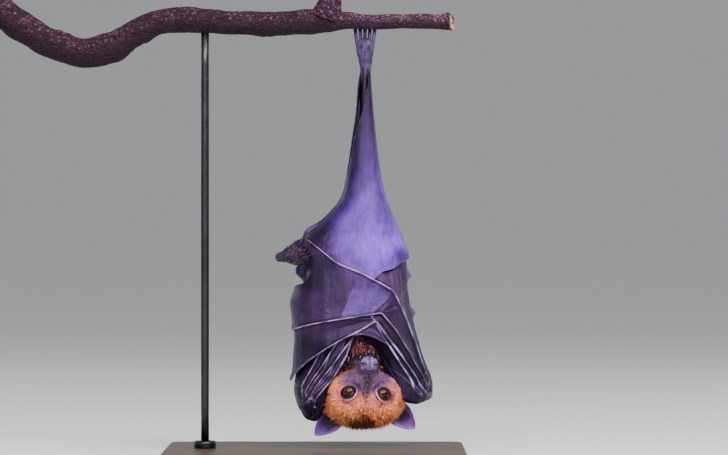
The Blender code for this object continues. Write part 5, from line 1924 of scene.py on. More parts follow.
@dataclass(frozen=True)
class Coat:
    """One piece of the coat: many tapered tufts rooted in the skin.

    Attributes:
        name: The object's name.
        count: How many tufts it has.
        width: The widest a tuft is at its root, in millimetres.
        rise: How steeply tufts stand, in degrees.
        share: How thickly tufts stand at a place, from 0 to 1.
        patch: Size of a tuft's patch on the map OFBake.
    """

    name: str
    count: int
    width: float
    rise: float
    share: Callable[[Array], Array]
    patch: float = 0.003

    def roots(self, triangles: Array, rng: np.random.Generator) -> tuple[Array, Array]:
        """Places and normals on the skin, spread by area and by share.

        Args:
            triangles: Corners of the skin's triangles.
            rng: The source of chance.

        Returns:
            Roots and unit normals.
        """
        a, b, c = triangles.transpose(1, 0, 2)
        normal = np.cross(b - a, c - a)
        area = np.linalg.norm(normal, axis=1)
        middle = (a + b + c) / 3
        total = np.cumsum(area * np.clip(self.share(middle), 0, 1) * (coat_length(middle) > 0.35))
        pick = np.searchsorted(total, rng.uniform(0, total[-1], self.count))
        u, v = rng.uniform(0, 1, (2, self.count, 1))
        over = (u + v) > 1
        u, v = np.where(over, 1 - u, u), np.where(over, 1 - v, v)
        place = a[pick] + u * (b - a)[pick] + v * (c - a)[pick]
        return place, normal[pick] / np.maximum(area[pick], 1e-9)[:, None]

    def build(self, triangles: Array) -> bpy.types.Object:
        """The joined tufts: each has two three-sided rings and a tip, on a path that bends into the lie.

        The path is p(t) = root - 0.25 n + L (t cos r lie + (t sin r - 0.28 t^2) n), for t from 0 to 1.

        Args:
            triangles: Corners of the skin's triangles.

        Returns:
            The coat piece, with its colours and its map.
        """
        rng, one_each = np.random.default_rng(SEED + len(self.name) * 13 + self.count), (self.count, 1)
        root, normal = self.roots(triangles, rng)
        lie = coat_lie(root, normal)
        jitter = rng.normal(0, 0.20, one_each)
        lie = lie * np.cos(jitter) + np.cross(normal, lie) * np.sin(jitter)
        side = np.cross(normal, lie)
        length = (coat_length(root) * rng.uniform(0.7, 1.2, self.count))[:, None]
        width = self.width * rng.uniform(0.6, 1.1, one_each) * np.clip(length / 4, 0.24, 1.1)
        stray = (rng.uniform(0, 1, one_each) < 0.07) * 1.0
        length, width = length * (1 + 0.35 * stray), width * (1 - 0.4 * stray)
        rise = np.radians(self.rise + 12 * stray + rng.normal(0, 7, one_each))
        rings = []
        for t, size in ((0.0, 1.0), (0.5, 0.8), (1.0, 0.0)):
            bend = t * np.cos(rise) * lie + (t * np.sin(rise) - 0.28 * t * t) * normal
            middle = root - 0.25 * normal + length * bend
            corners = ((-0.5, 0.0), (0.5, 0.0), (0.0, 0.4)) if size else ()
            rings += [middle + width * size * (x * side + y * normal) for x, y in corners] or [middle]
        base = (np.arange(self.count) * 7)[:, None, None]
        quads = np.array(((0, 1, 4, 3), (1, 2, 5, 4), (2, 0, 3, 5))) + base
        tips = np.array(((3, 4, 6), (4, 5, 6), (5, 3, 6), (2, 1, 0))) + base
        faces = [quads.reshape(-1, 4), tips.reshape(-1, 3)]
        made = piece(self.name, np.stack(rings, 1), faces, self.tints(root, rng).reshape(-1, 3))
        self.lay_map(made.data, unwrapped(root))
        return made

    def tints(self, root: Array, rng: np.random.Generator) -> Array:
        """Colours by tuft and point: the skin's own, paler to the tip, with some straw and silver hairs.

        Args:
            root: Roots of the tufts.
            rng: The source of chance.

        Returns:
            Seven colours for each tuft.
        """
        lumps = np.clip(1 + 0.28 * ripple(root, 2.2, 74), 0.5, 1.5)[:, None]
        own = np.clip(coat_colour(root) * (rng.uniform(0.42, 1.6, (self.count, 1)) * lumps), 0, 1)
        tint = own[:, None] * np.array((0.35, 0.35, 0.35, 1.0, 1.0, 1.1, 1.3))[None, :, None]
        # Dark roots and pale tips: partly the hair's own colour, partly painted shade deep in the coat and
        # painted highlight on the tips
        head = headness(root)
        bright = np.clip(own[:, 0], 0, 0.95) ** 1.5 * head
        tint[:, 6] = blend(tint[:, 6], TIP, bright)
        pale = bright * (rng.uniform(0, 1, self.count) < 0.16)
        tint[:, 3:] = blend(tint[:, 3:], STRAW, pale[:, None])
        grows = np.where(head > 0.5, 0.26 * (HEAD.places(root)[:, 2] > 5), 0.12 * (root[:, 1] < 0))
        silver = (rng.uniform(0, 1, self.count) < grows) * (own[:, 0] < 0.4) * 0.75
        tint[:, 3:6] = blend(tint[:, 3:6], SILVER, 0.4 * silver[:, None])
        tint[:, 6] = blend(tint[:, 6], SILVER, silver)
        return tint

    def lay_map(self, mesh: bpy.types.Mesh, roots: Array) -> None:
        """The map OFBake: each tuft is a patch 0.003 across at its root's place on the skin's unwrap.

        Args:
            mesh: The coat's mesh.
            roots: Each root's place on the unwrap.
        """
        k = np.arange(3)
        low, next_low = (np.stack((at / 3, 0 * k), 1) for at in (k, k + 1))
        high, next_high = low + (0, 0.5), next_low + (0, 0.5)
        point = np.stack(((k + 0.5) / 3, 0 * k + 1.0), 1)
        quad = np.stack((low, next_low, next_high, high), 1).reshape(1, -1, 2)
        cap = np.array((((0.66, 0.0), (0.33, 0.0), (0.0, 0.1)),))
        rest = np.concatenate((np.stack((high, next_high, point), 1), cap)).reshape(1, -1, 2)
        layer = mesh.uv_layers.new(name="OFBake")
        spread = [(part * self.patch + roots[:, None]).reshape(-1, 2) for part in (quad, rest)]
        layer.data.foreach_set("uv", np.concatenate(spread).astype(np.float32).ravel())


def on_head(side: Side, face: bool) -> Callable[[Array], Array]:
    """Where the head's coat grows, on one side of the face or of the crown; thicker where it is short.

    Args:
        side: Which side.
        face: Whether it is the face; else it is the crown.

    Returns:
        The function that gives the share at points of the model.
    """

    def share(points: Array) -> Array:
        """The share at points of the model."""
        right, up, ahead = np.moveaxis(HEAD.places(points), -1, 0)
        own = (right * side.value >= 0) * (headness(points) > 0.3) * ((ahead > 0) == face)
        return own * (0.45 + 0.55 * step_up(0, 22, ahead)) * (1 - 0.6 * (up < -8))

    return share


def on_neck(points: Array) -> Array:
    """The neck, the chest in front of it and the shoulders."""
    z = points[..., 2]
    return (headness(points) < 0.5) * (z < 150) * (1 - 0.96 * (points[..., 1] < 0) * (z > 132))


def on_back(points: Array) -> Array:
    """The trunk where the wings leave it open, and the hanging leg."""
    z = points[..., 2]
    return (~on_knee(points)) * (z > 138) * (points[..., 1] > -6) * (z < 345)


COATS = (
    Coat("coat_face_left", 19000, 1.05, 38, on_head(Side.LEFT, True)),
    Coat("coat_face_right", 19000, 1.05, 38, on_head(Side.RIGHT, True)),
    Coat("coat_crown_left", 18000, 1.15, 40, on_head(Side.LEFT, False)),
    Coat("coat_crown_right", 18000, 1.15, 40, on_head(Side.RIGHT, False)),
    Coat("coat_neck", 14000, 1.1, 32, on_neck),
    Coat("coat_back", 14000, 1.0, 26, on_back),
    Coat("coat_thigh", 6000, 0.6, 32, lambda points: on_knee(points) * 1.0),
)


# ---------------------------------------------------------------- branch

BRANCH = np.array(
    (
        (-376, 458, 16.5), (-343, 433, 15.0), (-312, 416, 14.4), (-280, 407, 14.6), (-254, 412, 15.2),
        (-230, 427, 12.5), (-204, 438, 12.8), (-175, 440.5, 12.8), (-135, 437, 11.8), (-100, 436.5, 12.0),
        (-67, 437.5, 12.0), (-40, 439, 11.2), (-20, 439.2, 8.4), (0, 438.5, 7.5), (45, 438.8, 7.1),
        (76, 437.7, 7.3), (86, 438.2, 8.4),
    ),
    float,
)
TWIG = np.array(((-40, 441, 15.5), (-37, 450, 13.5), (-34, 461, 10.5), (-31, 473.4, 7.6)), float)

BARK_DARK: Colour = (0.012, 0.0055, 0.012)
# Painted light: the rosy tone on the branch's top
BARK_TOP_LIGHT: Colour = (0.050, 0.016, 0.034)
BARK_SPECK: Colour = (0.330, 0.150, 0.230)
BARK_CRACK: Colour = (0.010, 0.005, 0.010)
SAWN: Colour = (0.420, 0.250, 0.160)


def branch_at(x: Array) -> tuple[Array, Array]:
    """The height of the branch's middle, and its radius, at X."""
    return tuple(np.interp(x, BRANCH[:, 0], BRANCH[:, k]) for k in (1, 2))


@dataclass(frozen=True)
class Bark:
    """A barked stem along stations of X, height and radius, with a cut face at its ends.

    Attributes:
        name: The object's name.
        axis: Stations of X, height and radius.
        steps: Rings along it.
        sides: Points round it.
        knots: X, height round the stem from -1 to 1, and size of each knot.
    """

    name: str
    axis: Array
    steps: int
    sides: int
    knots: tuple = (
        (-300, 1, 2.2), (-222, -1, 1.8), (-150, 1, 1.3), (-98, -1, 1.5),
        (-60, 0.2, 1.2), (58, 0.7, 1.1), (-262, 0.3, 1.8), (83, 1, 2.6),
    )

    def relief(self, rings: Array, out: Array) -> Array:
        """How far the bark stands out: noise drawn out along the stem, and knots with a hollow middle.

        Args:
            rings: The smooth stem's points.
            out: The way out at each of them.

        Returns:
            Distances, in millimetres.
        """
        drawn = rings * (0.35, 1, 1)
        ridged = 1 - np.abs(ripple(drawn, 3.4, 91)) * 1.6
        move = 0.55 * ripple(rings, 16, 92) + 0.30 * ripple(drawn, 6.5, 93) + 0.22 * ridged
        move = move + 0.10 * ripple(rings, 1.8, 94)
        for x, up, size in self.knots:
            spot = np.hypot(rings[..., 0] - x, (out[..., 2] - up) * 9)
            move += size * hump(spot, 6.5) - 0.8 * size * hump(spot, 2.2)
        return move

    def cut_face(self, ring: Array, ahead: Array) -> list[Array]:
        """Rings that close an end, from its rim to its middle, slightly domed and rough.

        Args:
            ring: The stem's last ring.
            ahead: The way in from the end.

        Returns:
            The rings, from the rim to the middle.
        """
        middle, caps = ring.mean(0), []
        for share in (0.97, 0.90, 0.72, 0.5, 0.28, 0.1):
            cap = middle + (ring - middle) * share
            depth = 0.45 * (1 - share) + 0.25 * ripple(cap, 2.5, 95)[:, None] + (0.0 if share > 0.95 else 0.5)
            caps.append(cap + ahead * depth)
        return caps

    def build(self) -> bpy.types.Object:
        """The stem: its radius plus the bark's relief, closed by sawn faces, torn at its thin end."""
        x, z, radius = read_stations(self.axis, self.steps)
        line = np.column_stack((x, np.zeros(self.steps), z))
        rings = rings_along(line, radius, self.sides, thin_way=(0, 1, 0))
        out = (rings - line[:, None]) / radius[:, None, None]
        rings = rings + out * (self.relief(rings, out) * np.clip(radius / 11, 0.55, 1)[:, None])[..., None]
        start = self.cut_face(rings[0], unit(line[1] - line[0]))
        end = self.cut_face(rings[-1], unit(line[-2] - line[-1]))
        rings = np.concatenate((start[::-1], rings, end))
        torn = np.clip(0.5 * rings[..., 1] - 0.25 * (rings[..., 2] - 438), -5, 3)
        rings[..., 0] += step_up(80, 86, rings[..., 0]) * torn * (1 + 0.3 * ripple(rings, 2.5, 90))
        return piece(self.name, *lofted(rings))


def bark_colour(points: Array, wood: Array) -> Array:
    """Purple-brown bark in uneven patches, with painted light that makes it rosier on top; pale wood where it
    is cut.

    Args:
        points: Points of the model.
        wood: 1 on the sawn faces and 0 on the bark.

    Returns:
        Linear colours.
    """
    axis_z, radius = branch_at(points[:, 0])
    lit = step_up(-0.45, 0.85, (points[:, 2] - axis_z) / radius)
    wide = step_up(-0.4, 0.8, ripple(points * (0.5, 1, 1), 11, 96))
    colour = np.zeros(points.shape) + np.array(BARK_DARK)
    colour = blend(colour, BARK_TOP_LIGHT, lit * (0.35 + 0.45 * wide))
    # Pale specks, faint below and strongest on the top where light is painted
    colour = blend(colour, BARK_SPECK, (0.05 + 0.60 * lit) * step_up(0.55, 1.2, ripple(points, 1.1, 97)))
    colour = blend(colour, BARK_CRACK, 0.7 * step_up(0.4, 1.1, ripple(points * (0.6, 1, 1), 2.4, 99)))
    colour = colour * (0.44 + 0.44 * step_up(-60, 10, points[:, 0]))[:, None]
    return blend(colour, SAWN, wood * (0.75 + 0.2 * ripple(points, 1.2, 98)))


def make_branch() -> bpy.types.Object:
    """The branch with its side twig cut short; its left end is sawn square to the axis."""
    branch = joined(Bark("perch_bark", BRANCH, 430, 56).build(), Bark("twig", TWIG, 60, 48).build())
    points = places_of(branch.data)
    x, y, z = points.T
    sawn = (x + 376) * 0.797 - (z - 458) * 0.604 < 0.9
    barked_rim = (x > 85) & (np.hypot(y, z - 438.2) > 8.2)
    wood = (sawn | (x > 85.0) | (z > 472.6)) * 1.0 * ~barked_rim
    paint_points(branch.data, bark_colour(points, wood))
    return branch


# ---------------------------------------------------------------- stand


@dataclass(frozen=True)
class Stand:
    """The display stand: a flat base, a rod up into the branch and a collar round its foot.

    Attributes:
        base: The base's width, depth and height, in millimetres.
        corner: Radius of its corners.
        edge: Radius of its rounded edges.
        rod_x: Where the rod stands.
        rod_r: The rod's radius.
        sunk: How far the rod goes into the branch.
        collar_r: The collar's radius.
        collar_height: Its height.
        brow: Radius of its rounded top.
        chamfer: Size of its other edges.
        gap: The clearance round the rod's foot.
    """

    base: Point = (300.0, 190.0, 12.0)
    corner: float = 14.0
    edge: float = 2.0
    rod_x: float = -160.0
    rod_r: float = 4.0
    sunk: float = 9.0
    collar_r: float = 11.0
    collar_height: float = 7.0
    brow: float = 2.0
    chamfer: float = 0.4
    gap: float = 0.35

    def plate(self) -> bpy.types.Object:
        """The base: a rounded rectangle whose edges are quarter rounds above and below."""
        x, y, height = self.base
        turn = circle(96) + math.pi / 96
        way = np.column_stack((np.cos(turn), np.sin(turn)))
        middle = np.sign(way) * (x / 2 - self.corner, y / 2 - self.corner) - (LEG_FROM_CENTRE, 0)
        bend = np.radians(np.linspace(0, 90, 7))
        profile = [(self.edge * (1 - math.sin(b)), self.edge * (1 - math.cos(b))) for b in bend]
        profile += [(inset, height - low) for inset, low in profile[::-1]]
        profile = [(4.0, 0.0), (2.2, 0.0)] + profile + [(2.2, height), (4.0, height)]
        rings = [np.column_stack((middle + (self.corner - i) * way, np.full(96, z))) for i, z in profile]
        return piece("stand_base_plate", *lofted(np.array(rings)))

    def turned(self, name: str, profile: Sequence[Place]) -> bpy.types.Object:
        """A turned piece on the rod's axis, from places of radius and height."""
        turn = circle(64)
        x, y = np.cos(turn), np.sin(turn)
        rings = [np.column_stack((self.rod_x + r * x, r * y, np.full(64, z))) for r, z in profile]
        return piece(name, *lofted(np.array(rings)))

    def build(self) -> tuple[bpy.types.Object, ...]:
        """Base, rod and collar."""
        low = self.base[2] + self.gap
        branch_z, branch_r = branch_at(self.rod_x)
        top = branch_z - branch_r + self.sunk
        rod = [(self.rod_r, z) for z in (low, low + 40, top - 40, top)]
        bore, r, edge, high = self.rod_r + self.gap, self.collar_r, self.chamfer, low + self.collar_height
        ring = [(bore, low), (r - edge, low), (r, low + edge), (r, high - self.brow)]
        for bend in np.radians(np.linspace(10, 90, 8)):
            ring.append((r - self.brow * (1 - math.cos(bend)), high - self.brow * (1 - math.sin(bend))))
        ring += [(bore + edge, high), (bore, high - edge), (bore, low + 1.0)]
        rod, collar = self.turned("stand_rod_bar", rod), self.turned("stand_collar_ring", ring)
        return self.plate(), rod, collar


# ---------------------------------------------------------------- finishes


@dataclass
class Graph:
    """Adds and links the nodes of one node tree."""

    tree: bpy.types.NodeTree

    def add(self, kind: str, values: dict | None = None, **settings: object) -> bpy.types.Node:
        """A node of a kind, with its settings and its inputs' values."""
        node = self.tree.nodes.new(kind)
        for key, value in settings.items():
            setattr(node, key, value)
        for key, value in (values or {}).items():
            node.inputs[key].default_value = value
        return node

    def link(self, source: Socket, target: Socket) -> None:
        """Links two sockets."""
        self.tree.links.new(source, target)

    def noise(self, vector: Socket, scale: float, detail: float, rough: float) -> Socket:
        """A noise's value at a vector."""
        node = self.add("ShaderNodeTexNoise", {"Scale": scale, "Detail": detail, "Roughness": rough})
        self.link(vector, node.inputs["Vector"])
        return node.outputs["Fac"]

    def cells(self, vector: Socket, scale: float, edge: float) -> Socket:
        """0 on the borders of scattered cells, rising to 1 over an edge's width."""
        node = self.add("ShaderNodeTexVoronoi", {"Scale": scale}, feature="DISTANCE_TO_EDGE")
        self.link(vector, node.inputs["Vector"])
        return self.ranged(node.outputs["Distance"], 0.0, edge, 0.0, 1.0)

    def ranged(self, value: Socket, low: float, high: float, to_low: float, to_high: float) -> Socket:
        """A value moved from one range to another, held at its ends."""
        limits = {"From Min": low, "From Max": high, "To Min": to_low, "To Max": to_high}
        node = self.add("ShaderNodeMapRange", limits)
        self.link(value, node.inputs["Value"])
        return node.outputs["Result"]

    def spread(self, noise: Socket, to_low: float, to_high: float) -> Socket:
        """A noise's middle part, moved to a range."""
        return self.ranged(noise, 0.3, 0.7, to_low, to_high)

    def join(self, kind: str, operation: str, first: Socket, second: Socket | float | Point) -> Socket:
        """Two values or vectors joined by an operation.

        Args:
            kind: The kind of node.
            operation: Its operation.
            first: Its first input.
            second: Its second input, or a constant.

        Returns:
            Its output.
        """
        node = self.add(kind, operation=operation)
        self.link(first, node.inputs[0])
        if isinstance(second, Socket):
            self.link(second, node.inputs[1])
        else:
            node.inputs[1].default_value = second
        return node.outputs[0]

    def plus(self, first: Socket, second: Socket) -> Socket:
        """The sum of two values."""
        return self.join("ShaderNodeMath", "ADD", first, second)

    def times(self, first: Socket, second: Socket | float) -> Socket:
        """The product of two values."""
        return self.join("ShaderNodeMath", "MULTIPLY", first, second)

    def scaled(self, vector: Socket, scale: Point) -> Socket:
        """A vector stretched along its axes."""
        return self.join("ShaderNodeVectorMath", "MULTIPLY", vector, scale)

    def shaded(self, colour: Socket, value: Socket) -> Socket:
        """A colour multiplied by a value."""
        node = self.add("ShaderNodeVectorMath", operation="SCALE")
        self.link(colour, node.inputs[0])
        self.link(value, node.inputs["Scale"])
        return node.outputs[0]


# Each kind of grain adds its nodes for a place on the object, and gives shade, gloss and height
Looks = tuple[Socket, Socket, Socket]


def leather(graph: Graph, vector: Socket) -> Looks:
    """Wing skin: fine crossing creases, elastic threads up the sheet, mottling and small pale specks painted
    as glints.

    Args:
        graph: The group's nodes.
        vector: Place on the object.

    Returns:
        Shade, gloss and height.
    """
    mottle, fine = graph.noise(vector, 45, 4, 0.6), graph.noise(vector, 650, 3, 0.6)
    threads = graph.noise(graph.scaled(vector, (1.0, 1.0, 0.12)), 420, 3, 0.55)
    crease = graph.cells(vector, 620.0, 0.12)
    # Painted glints: small pale specks
    spots = graph.ranged(graph.noise(vector, 420, 2, 0.5), 0.64, 0.76, 0.0, 1.0)
    shade = graph.plus(graph.spread(mottle, 0.80, 1.12), graph.ranged(threads, 0.35, 0.65, -0.10, 0.10))
    shade = graph.plus(shade, graph.times(spots, 0.6))
    shade = graph.times(shade, graph.ranged(crease, 0.0, 1.0, 0.90, 1.0))
    gloss = graph.plus(graph.spread(mottle, 0.40, 0.30), graph.spread(fine, -0.05, 0.08))
    height = graph.plus(graph.times(threads, 0.8), graph.times(crease, 0.12))
    return shade, gloss, graph.plus(height, graph.times(fine, 0.5))


def hide(graph: Graph, vector: Socket) -> Looks:
    """Skin of the body and face: pores and short flat hair."""
    pores, mottle = graph.noise(vector, 900, 4, 0.65), graph.noise(vector, 160, 3, 0.5)
    strands = graph.noise(graph.scaled(vector, (1.0, 0.35, 0.35)), 1100, 3, 0.6)
    shade = graph.times(graph.spread(mottle, 0.78, 1.15), graph.ranged(strands, 0.35, 0.65, 0.82, 1.18))
    return shade, graph.spread(pores, 0.42, 0.62), graph.plus(pores, strands)


def hair(graph: Graph, vector: Socket) -> Looks:
    """Hair: slight changes from strand to strand."""
    fine, wide = graph.noise(vector, 1400, 2, 0.5), graph.noise(vector, 120, 3, 0.5)
    shade = graph.times(graph.spread(fine, 0.82, 1.18), graph.spread(wide, 0.9, 1.1))
    return shade, graph.spread(fine, 0.50, 0.68), fine


def bark(graph: Graph, vector: Socket) -> Looks:
    """Bark: flaky ridges drawn along the stem, pale specks and dark cracks.

    Args:
        graph: The group's nodes.
        vector: Place on the object.

    Returns:
        Shade, gloss and height.
    """
    along = graph.scaled(vector, (0.4, 1.0, 1.0))
    ridge, crack = graph.noise(along, 260, 6, 0.68), graph.cells(along, 190.0, 0.09)
    specks = graph.ranged(graph.noise(vector, 700, 3, 0.6), 0.56, 0.66, 0.0, 1.0)
    shade = graph.times(graph.ranged(ridge, 0.35, 0.65, 0.35, 1.5), graph.ranged(crack, 0.0, 1.0, 0.7, 1.05))
    shade = graph.plus(shade, graph.times(specks, 1.6))
    height = graph.plus(graph.times(ridge, 1.2), graph.times(crack, 0.35))
    return shade, graph.spread(ridge, 0.75, 0.9), height


def wood(graph: Graph, vector: Socket) -> Looks:
    """Stained wood: long grain with fine pores along X."""
    grain = graph.noise(graph.scaled(vector, (0.06, 1.0, 1.0)), 150, 6, 0.62)
    pores = graph.noise(graph.scaled(vector, (0.05, 1.0, 1.0)), 900, 3, 0.6)
    shade = graph.times(graph.spread(grain, 0.6, 1.35), graph.ranged(pores, 0.35, 0.6, 0.85, 1.08))
    return shade, graph.spread(grain, 0.42, 0.32), graph.plus(grain, graph.times(pores, 0.6))


def metal(graph: Graph, vector: Socket) -> Looks:
    """Satin blackened metal with faint drawn marks."""
    marks = graph.noise(graph.scaled(vector, (1.0, 1.0, 0.04)), 1500, 3, 0.5)
    return graph.spread(graph.noise(vector, 60, 3, 0.5), 0.85, 1.15), graph.spread(marks, 0.30, 0.44), marks


def horn(graph: Graph, vector: Socket) -> Looks:
    """Claws and lids: smooth, with slight clouding."""
    cloud = graph.noise(vector, 500, 3, 0.5)
    return graph.spread(cloud, 0.8, 1.2), graph.spread(cloud, 0.22, 0.34), cloud


class Grain(Enum):
    """The kinds of surface grain, each a shared node group."""

    LEATHER = "leather"
    HIDE = "hide"
    HAIR = "hair"
    BARK = "bark"
    WOOD = "wood"
    METAL = "metal"
    HORN = "horn"


GRAINS = dict(zip(Grain, (leather, hide, hair, bark, wood, metal, horn)))


def grain_group(grain: Grain) -> bpy.types.NodeTree:
    """The node group of a grain: Vector and Colour in; Colour, Gloss (a roughness) and Height out.

    Args:
        grain: Which grain.

    Returns:
        The group, made once and shared.
    """
    name = f"grain_{grain.value}"
    if name in bpy.data.node_groups:
        return bpy.data.node_groups[name]
    made = bpy.data.node_groups.new(name, "ShaderNodeTree")
    for name, way, kind in (
        ("Vector", "INPUT", "NodeSocketVector"),
        ("Colour", "INPUT", "NodeSocketColor"),
        ("Colour", "OUTPUT", "NodeSocketColor"),
        ("Gloss", "OUTPUT", "NodeSocketFloat"),
        ("Height", "OUTPUT", "NodeSocketFloat"),
    ):
        made.interface.new_socket(name, in_out=way, socket_type=kind)
    graph = Graph(made)
    source, sink = graph.add("NodeGroupInput"), graph.add("NodeGroupOutput")
    shade, gloss, height = GRAINS[grain](graph, source.outputs["Vector"])
    graph.link(graph.shaded(source.outputs["Colour"], shade), sink.inputs["Colour"])
    graph.link(gloss, sink.inputs["Gloss"])
    graph.link(height, sink.inputs["Height"])
    return made


@dataclass(frozen=True)
class Finish:
    """How a kind of surface looks.

    Attributes:
        name: The material's name.
        grain: Its grain.
        bump: Strength of the grain's relief.
        reach: Depth of the relief, in metres.
        specular: Level of its reflections, or None to leave the shader's own.
        tint: Colour of its reflections, or None for none.
        colour: Its colour, or None to read each point's own.
        shader: Constant values of more of the shader's own sockets.
    """

    name: str
    grain: Grain
    bump: float
    reach: float
    specular: float | None = None
    tint: Colour | None = None
    colour: Colour | None = None
    shader: tuple[tuple[str, float], ...] = ()

    def material(self) -> bpy.types.Material:
        """The procedural material, made once."""
        made = bpy.data.materials.get(self.name)
        if made:
            return made
        made = bpy.data.materials.new(self.name)
        made.use_nodes = True
        graph, inputs = Graph(made.node_tree), made.node_tree.nodes["Principled BSDF"].inputs
        place = graph.add("ShaderNodeTexCoord")
        group = graph.add("ShaderNodeGroup", node_tree=grain_group(self.grain))
        graph.link(place.outputs["Object"], group.inputs["Vector"])
        if self.colour is None:
            own = graph.add("ShaderNodeAttribute", attribute_name="Tint")
            graph.link(own.outputs["Color"], group.inputs["Colour"])
        else:
            group.inputs["Colour"].default_value = (*self.colour, 1.0)
        graph.link(group.outputs["Colour"], inputs["Base Color"])
        graph.link(group.outputs["Gloss"], inputs["Roughness"])
        relief = graph.add("ShaderNodeBump", {"Strength": self.bump, "Distance": self.reach})
        graph.link(group.outputs["Height"], relief.inputs["Height"])
        graph.link(relief.outputs["Normal"], inputs["Normal"])
        if self.specular is not None:
            inputs["Specular IOR Level"].default_value = self.specular
        if self.tint:
            inputs["Specular Tint"].default_value = (*self.tint, 1.0)
        for socket, value in self.shader:
            inputs[socket].default_value = value
        return made


WING_SKIN = Finish("wing_leather", Grain.LEATHER, 0.65, 0.0007, 0.30, (0.62, 0.42, 1.0))
BODY_SKIN = Finish("body_hide", Grain.HIDE, 0.5, 0.0004, 0.35, (0.7, 0.55, 1.0))
EAR_SKIN = Finish("ear_skin", Grain.HIDE, 0.35, 0.0003, 0.30, (0.7, 0.45, 1.0))
COAT = Finish("coat_hair", Grain.HAIR, 0.0, 0.0001, 0.20)
WET = (("Coat Weight", 0.5), ("Coat Roughness", 0.03))
EYE = Finish("eye_gloss", Grain.HORN, 0.0, 0.0001, 0.0, shader=WET)
LID = Finish("eye_lid", Grain.HIDE, 0.5, 0.0003, 0.25)
POLISH = (("Coat Weight", 0.3),)
CLAW = Finish("claw_horn", Grain.HORN, 0.2, 0.0002, colour=(0.018, 0.013, 0.017), shader=POLISH)
BARK_SKIN = Finish("branch_bark", Grain.BARK, 1.0, 0.0014, 0.25, (1.0, 0.6, 0.8))
LACQUER = (("Coat Weight", 0.25), ("Coat Roughness", 0.25))
STAIN = Finish("stand_stain", Grain.WOOD, 0.25, 0.0003, colour=(0.060, 0.033, 0.022), shader=LACQUER)
BLACK = Finish(
    "stand_black", Grain.METAL, 0.15, 0.0002, colour=(0.035, 0.035, 0.038), shader=(("Metallic", 1.0),)
)


# ---------------------------------------------------------------- the model


@dataclass
class Model:
    """The dressed model: each piece made, finished and set on the frame."""

    made: list[bpy.types.Object] = field(default_factory=list)

    def put(self, made: bpy.types.Object, finish: Finish, *stands_for: str) -> None:
        """Finishes a piece, fixes it to the body and lets it stand for CAD nodes.

        Args:
            made: The piece.
            finish: Its finish.
            stands_for: The names of the nodes.
        """
        made.data.materials.clear()
        made.data.materials.append(finish.material())
        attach(made, "root")
        if stands_for:
            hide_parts(*stands_for)
        LOG.info("%-22s %7d triangles", made.name, sum(len(p.vertices) - 2 for p in made.data.polygons))
        self.made.append(made)

    def wings(self) -> None:
        """Both wings' skins."""
        for side, wing in ((Side.RIGHT, RightWing()), (Side.LEFT, LeftWing())):
            nodes = [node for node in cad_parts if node.startswith(f"wing_{side.word}_")]
            self.put(wing.build(), WING_SKIN, *nodes)

    def body(self) -> None:
        """The body's skin and coat, the ears, the eyes, the thumbs and the claws."""
        skin = Body().build()
        paint_points(skin.data, coat_colour(places_of(skin.data)) * 0.75)
        legs = [f"{part}_{side.word}" for part in ("thigh", "shank", "foot") for side in Side]
        self.put(skin, BODY_SKIN, "head", "neck", "trunk", *legs)
        skin.data.calc_loop_triangles()
        corners = np.empty(len(skin.data.loop_triangles) * 3, np.int32)
        skin.data.loop_triangles.foreach_get("vertices", corners)
        triangles = places_of(skin.data)[corners.reshape(-1, 3)]
        for coat in COATS:
            self.put(coat.build(triangles), COAT)
        for ear in EARS:
            self.put(ear.build(), EAR_SKIN, f"ear_{ear.side.word}")
        for side in Side:
            self.put(Eye(side).ball(), EYE, f"eye_{side.word}")
            self.put(Eye(side).rim(), LID)
        for thumb in THUMBS:
            self.put(thumb.build(), WING_SKIN)
        for made in (*FOOT.claws(), *(thumb.hook() for thumb in THUMBS)):
            self.put(made, CLAW)

    def perch(self) -> None:
        """The branch and the stand."""
        self.put(make_branch(), BARK_SKIN, "perch_branch")
        base, rod, collar = Stand().build()
        self.put(base, STAIN, "stand_base")
        self.put(rod, BLACK, "stand_rod")
        self.put(collar, BLACK, "stand_collar")


# ---------------------------------------------------------------- studio


def area_light(
    name: str, place: Point, aim: Point, size: float, power: float, colour: Colour, deep: float = 1.0
) -> None:
    """A soft light that looks at a place, wide by size and high by deep times that.

    Args:
        name: The light's name.
        place: Where it stands, in metres.
        aim: Where it looks.
        size: Its width.
        power: Its power, in watts.
        colour: Its colour.
        deep: Its height as a share of its width.
    """
    data = bpy.data.lights.new(name, "AREA")
    data.shape, data.size, data.size_y = "RECTANGLE", size, size * deep
    data.energy, data.color = power, colour
    made = linked(name, data)
    made.location = place
    made.rotation_euler = (Vector(aim) - Vector(place)).to_track_quat("-Z", "Y").to_euler()


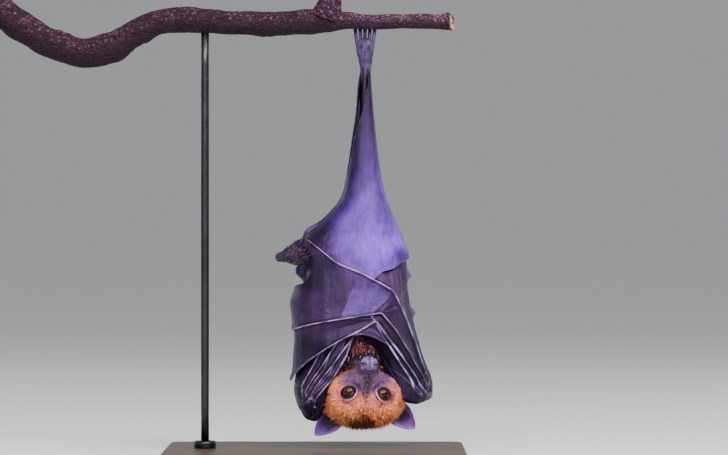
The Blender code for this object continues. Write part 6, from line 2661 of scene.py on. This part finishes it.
def lay_floor(size: float = 30.0) -> None:
    """A plain pale floor, wide by twice the size.

    Args:
        size: Half its width, in metres.
    """
    mesh = bpy.data.meshes.new("studio_floor")
    corners = [(-size, -size, 0), (size, -size, 0), (size, size, 0), (-size, size, 0)]
    mesh.from_pydata(corners, [], [(0, 1, 2, 3)])
    pale = bpy.data.materials.new("studio_pale")
    pale.use_nodes = True
    inputs = pale.node_tree.nodes["Principled BSDF"].inputs
    inputs["Base Color"].default_value = (0.66, 0.66, 0.66, 1)
    inputs["Roughness"].default_value = 0.9
    mesh.materials.append(pale)
    linked("studio_floor", mesh)


def studio() -> None:
    """The floor, the soft light, and the camera at the bat's height."""
    lay_floor()
    world = bpy.data.worlds.new("studio_world")
    world.use_nodes = True
    sky = world.node_tree.nodes["Background"].inputs
    sky["Color"].default_value = (0.97, 0.985, 1.0, 1)
    sky["Strength"].default_value = 0.36
    bpy.context.scene.world = world

    sun = bpy.data.lights.new("sun", "SUN")
    sun.energy, sun.angle = 0.75, math.radians(30)
    linked("sun", sun).rotation_euler = (math.radians(38), 0, math.radians(35))
    bat, head, white = (0.05, 0.0, 0.20), (0.05, 0, 0.1), (1.0, 1.0, 1.0)
    area_light("key", (1.2, -1.4, 1.5), bat, 0.6, 54, (1.0, 0.98, 0.97))
    area_light("top", (-0.05, -1.15, 1.35), bat, 1.9, 18, white, 0.45)
    area_light("catch", (-0.12, -1.85, 1.15), head, 1.4, 56, (1.0, 0.98, 0.96), 0.3)
    area_light("fill", (-1.7, -1.7, 0.7), bat, 1.6, 8, (0.86, 0.90, 1.0))
    area_light("rim_right", (1.5, 1.1, 0.9), bat, 0.8, 6, white)
    area_light("rim_left", (-1.4, 1.3, 0.8), bat, 0.8, 5, white)

    lens = bpy.data.cameras.new("camera")
    wide, away, view = 36.0, 3.0, 0.728
    lens.sensor_width, lens.lens = wide, wide * away / view
    camera = linked("camera", lens)
    camera.location = (0.049, -away, 0.2325)
    camera.rotation_euler = (math.pi / 2, 0, 0)
    bpy.context.scene.camera = camera


def main() -> None:
    """Makes the whole scene and writes how many pieces it has."""
    model = Model()
    model.wings()
    model.body()
    model.perch()
    studio()
    LOG.info("%d pieces", len(model.made))
    bpy.context.view_layer.update()


if __name__ == "__main__":
    main()
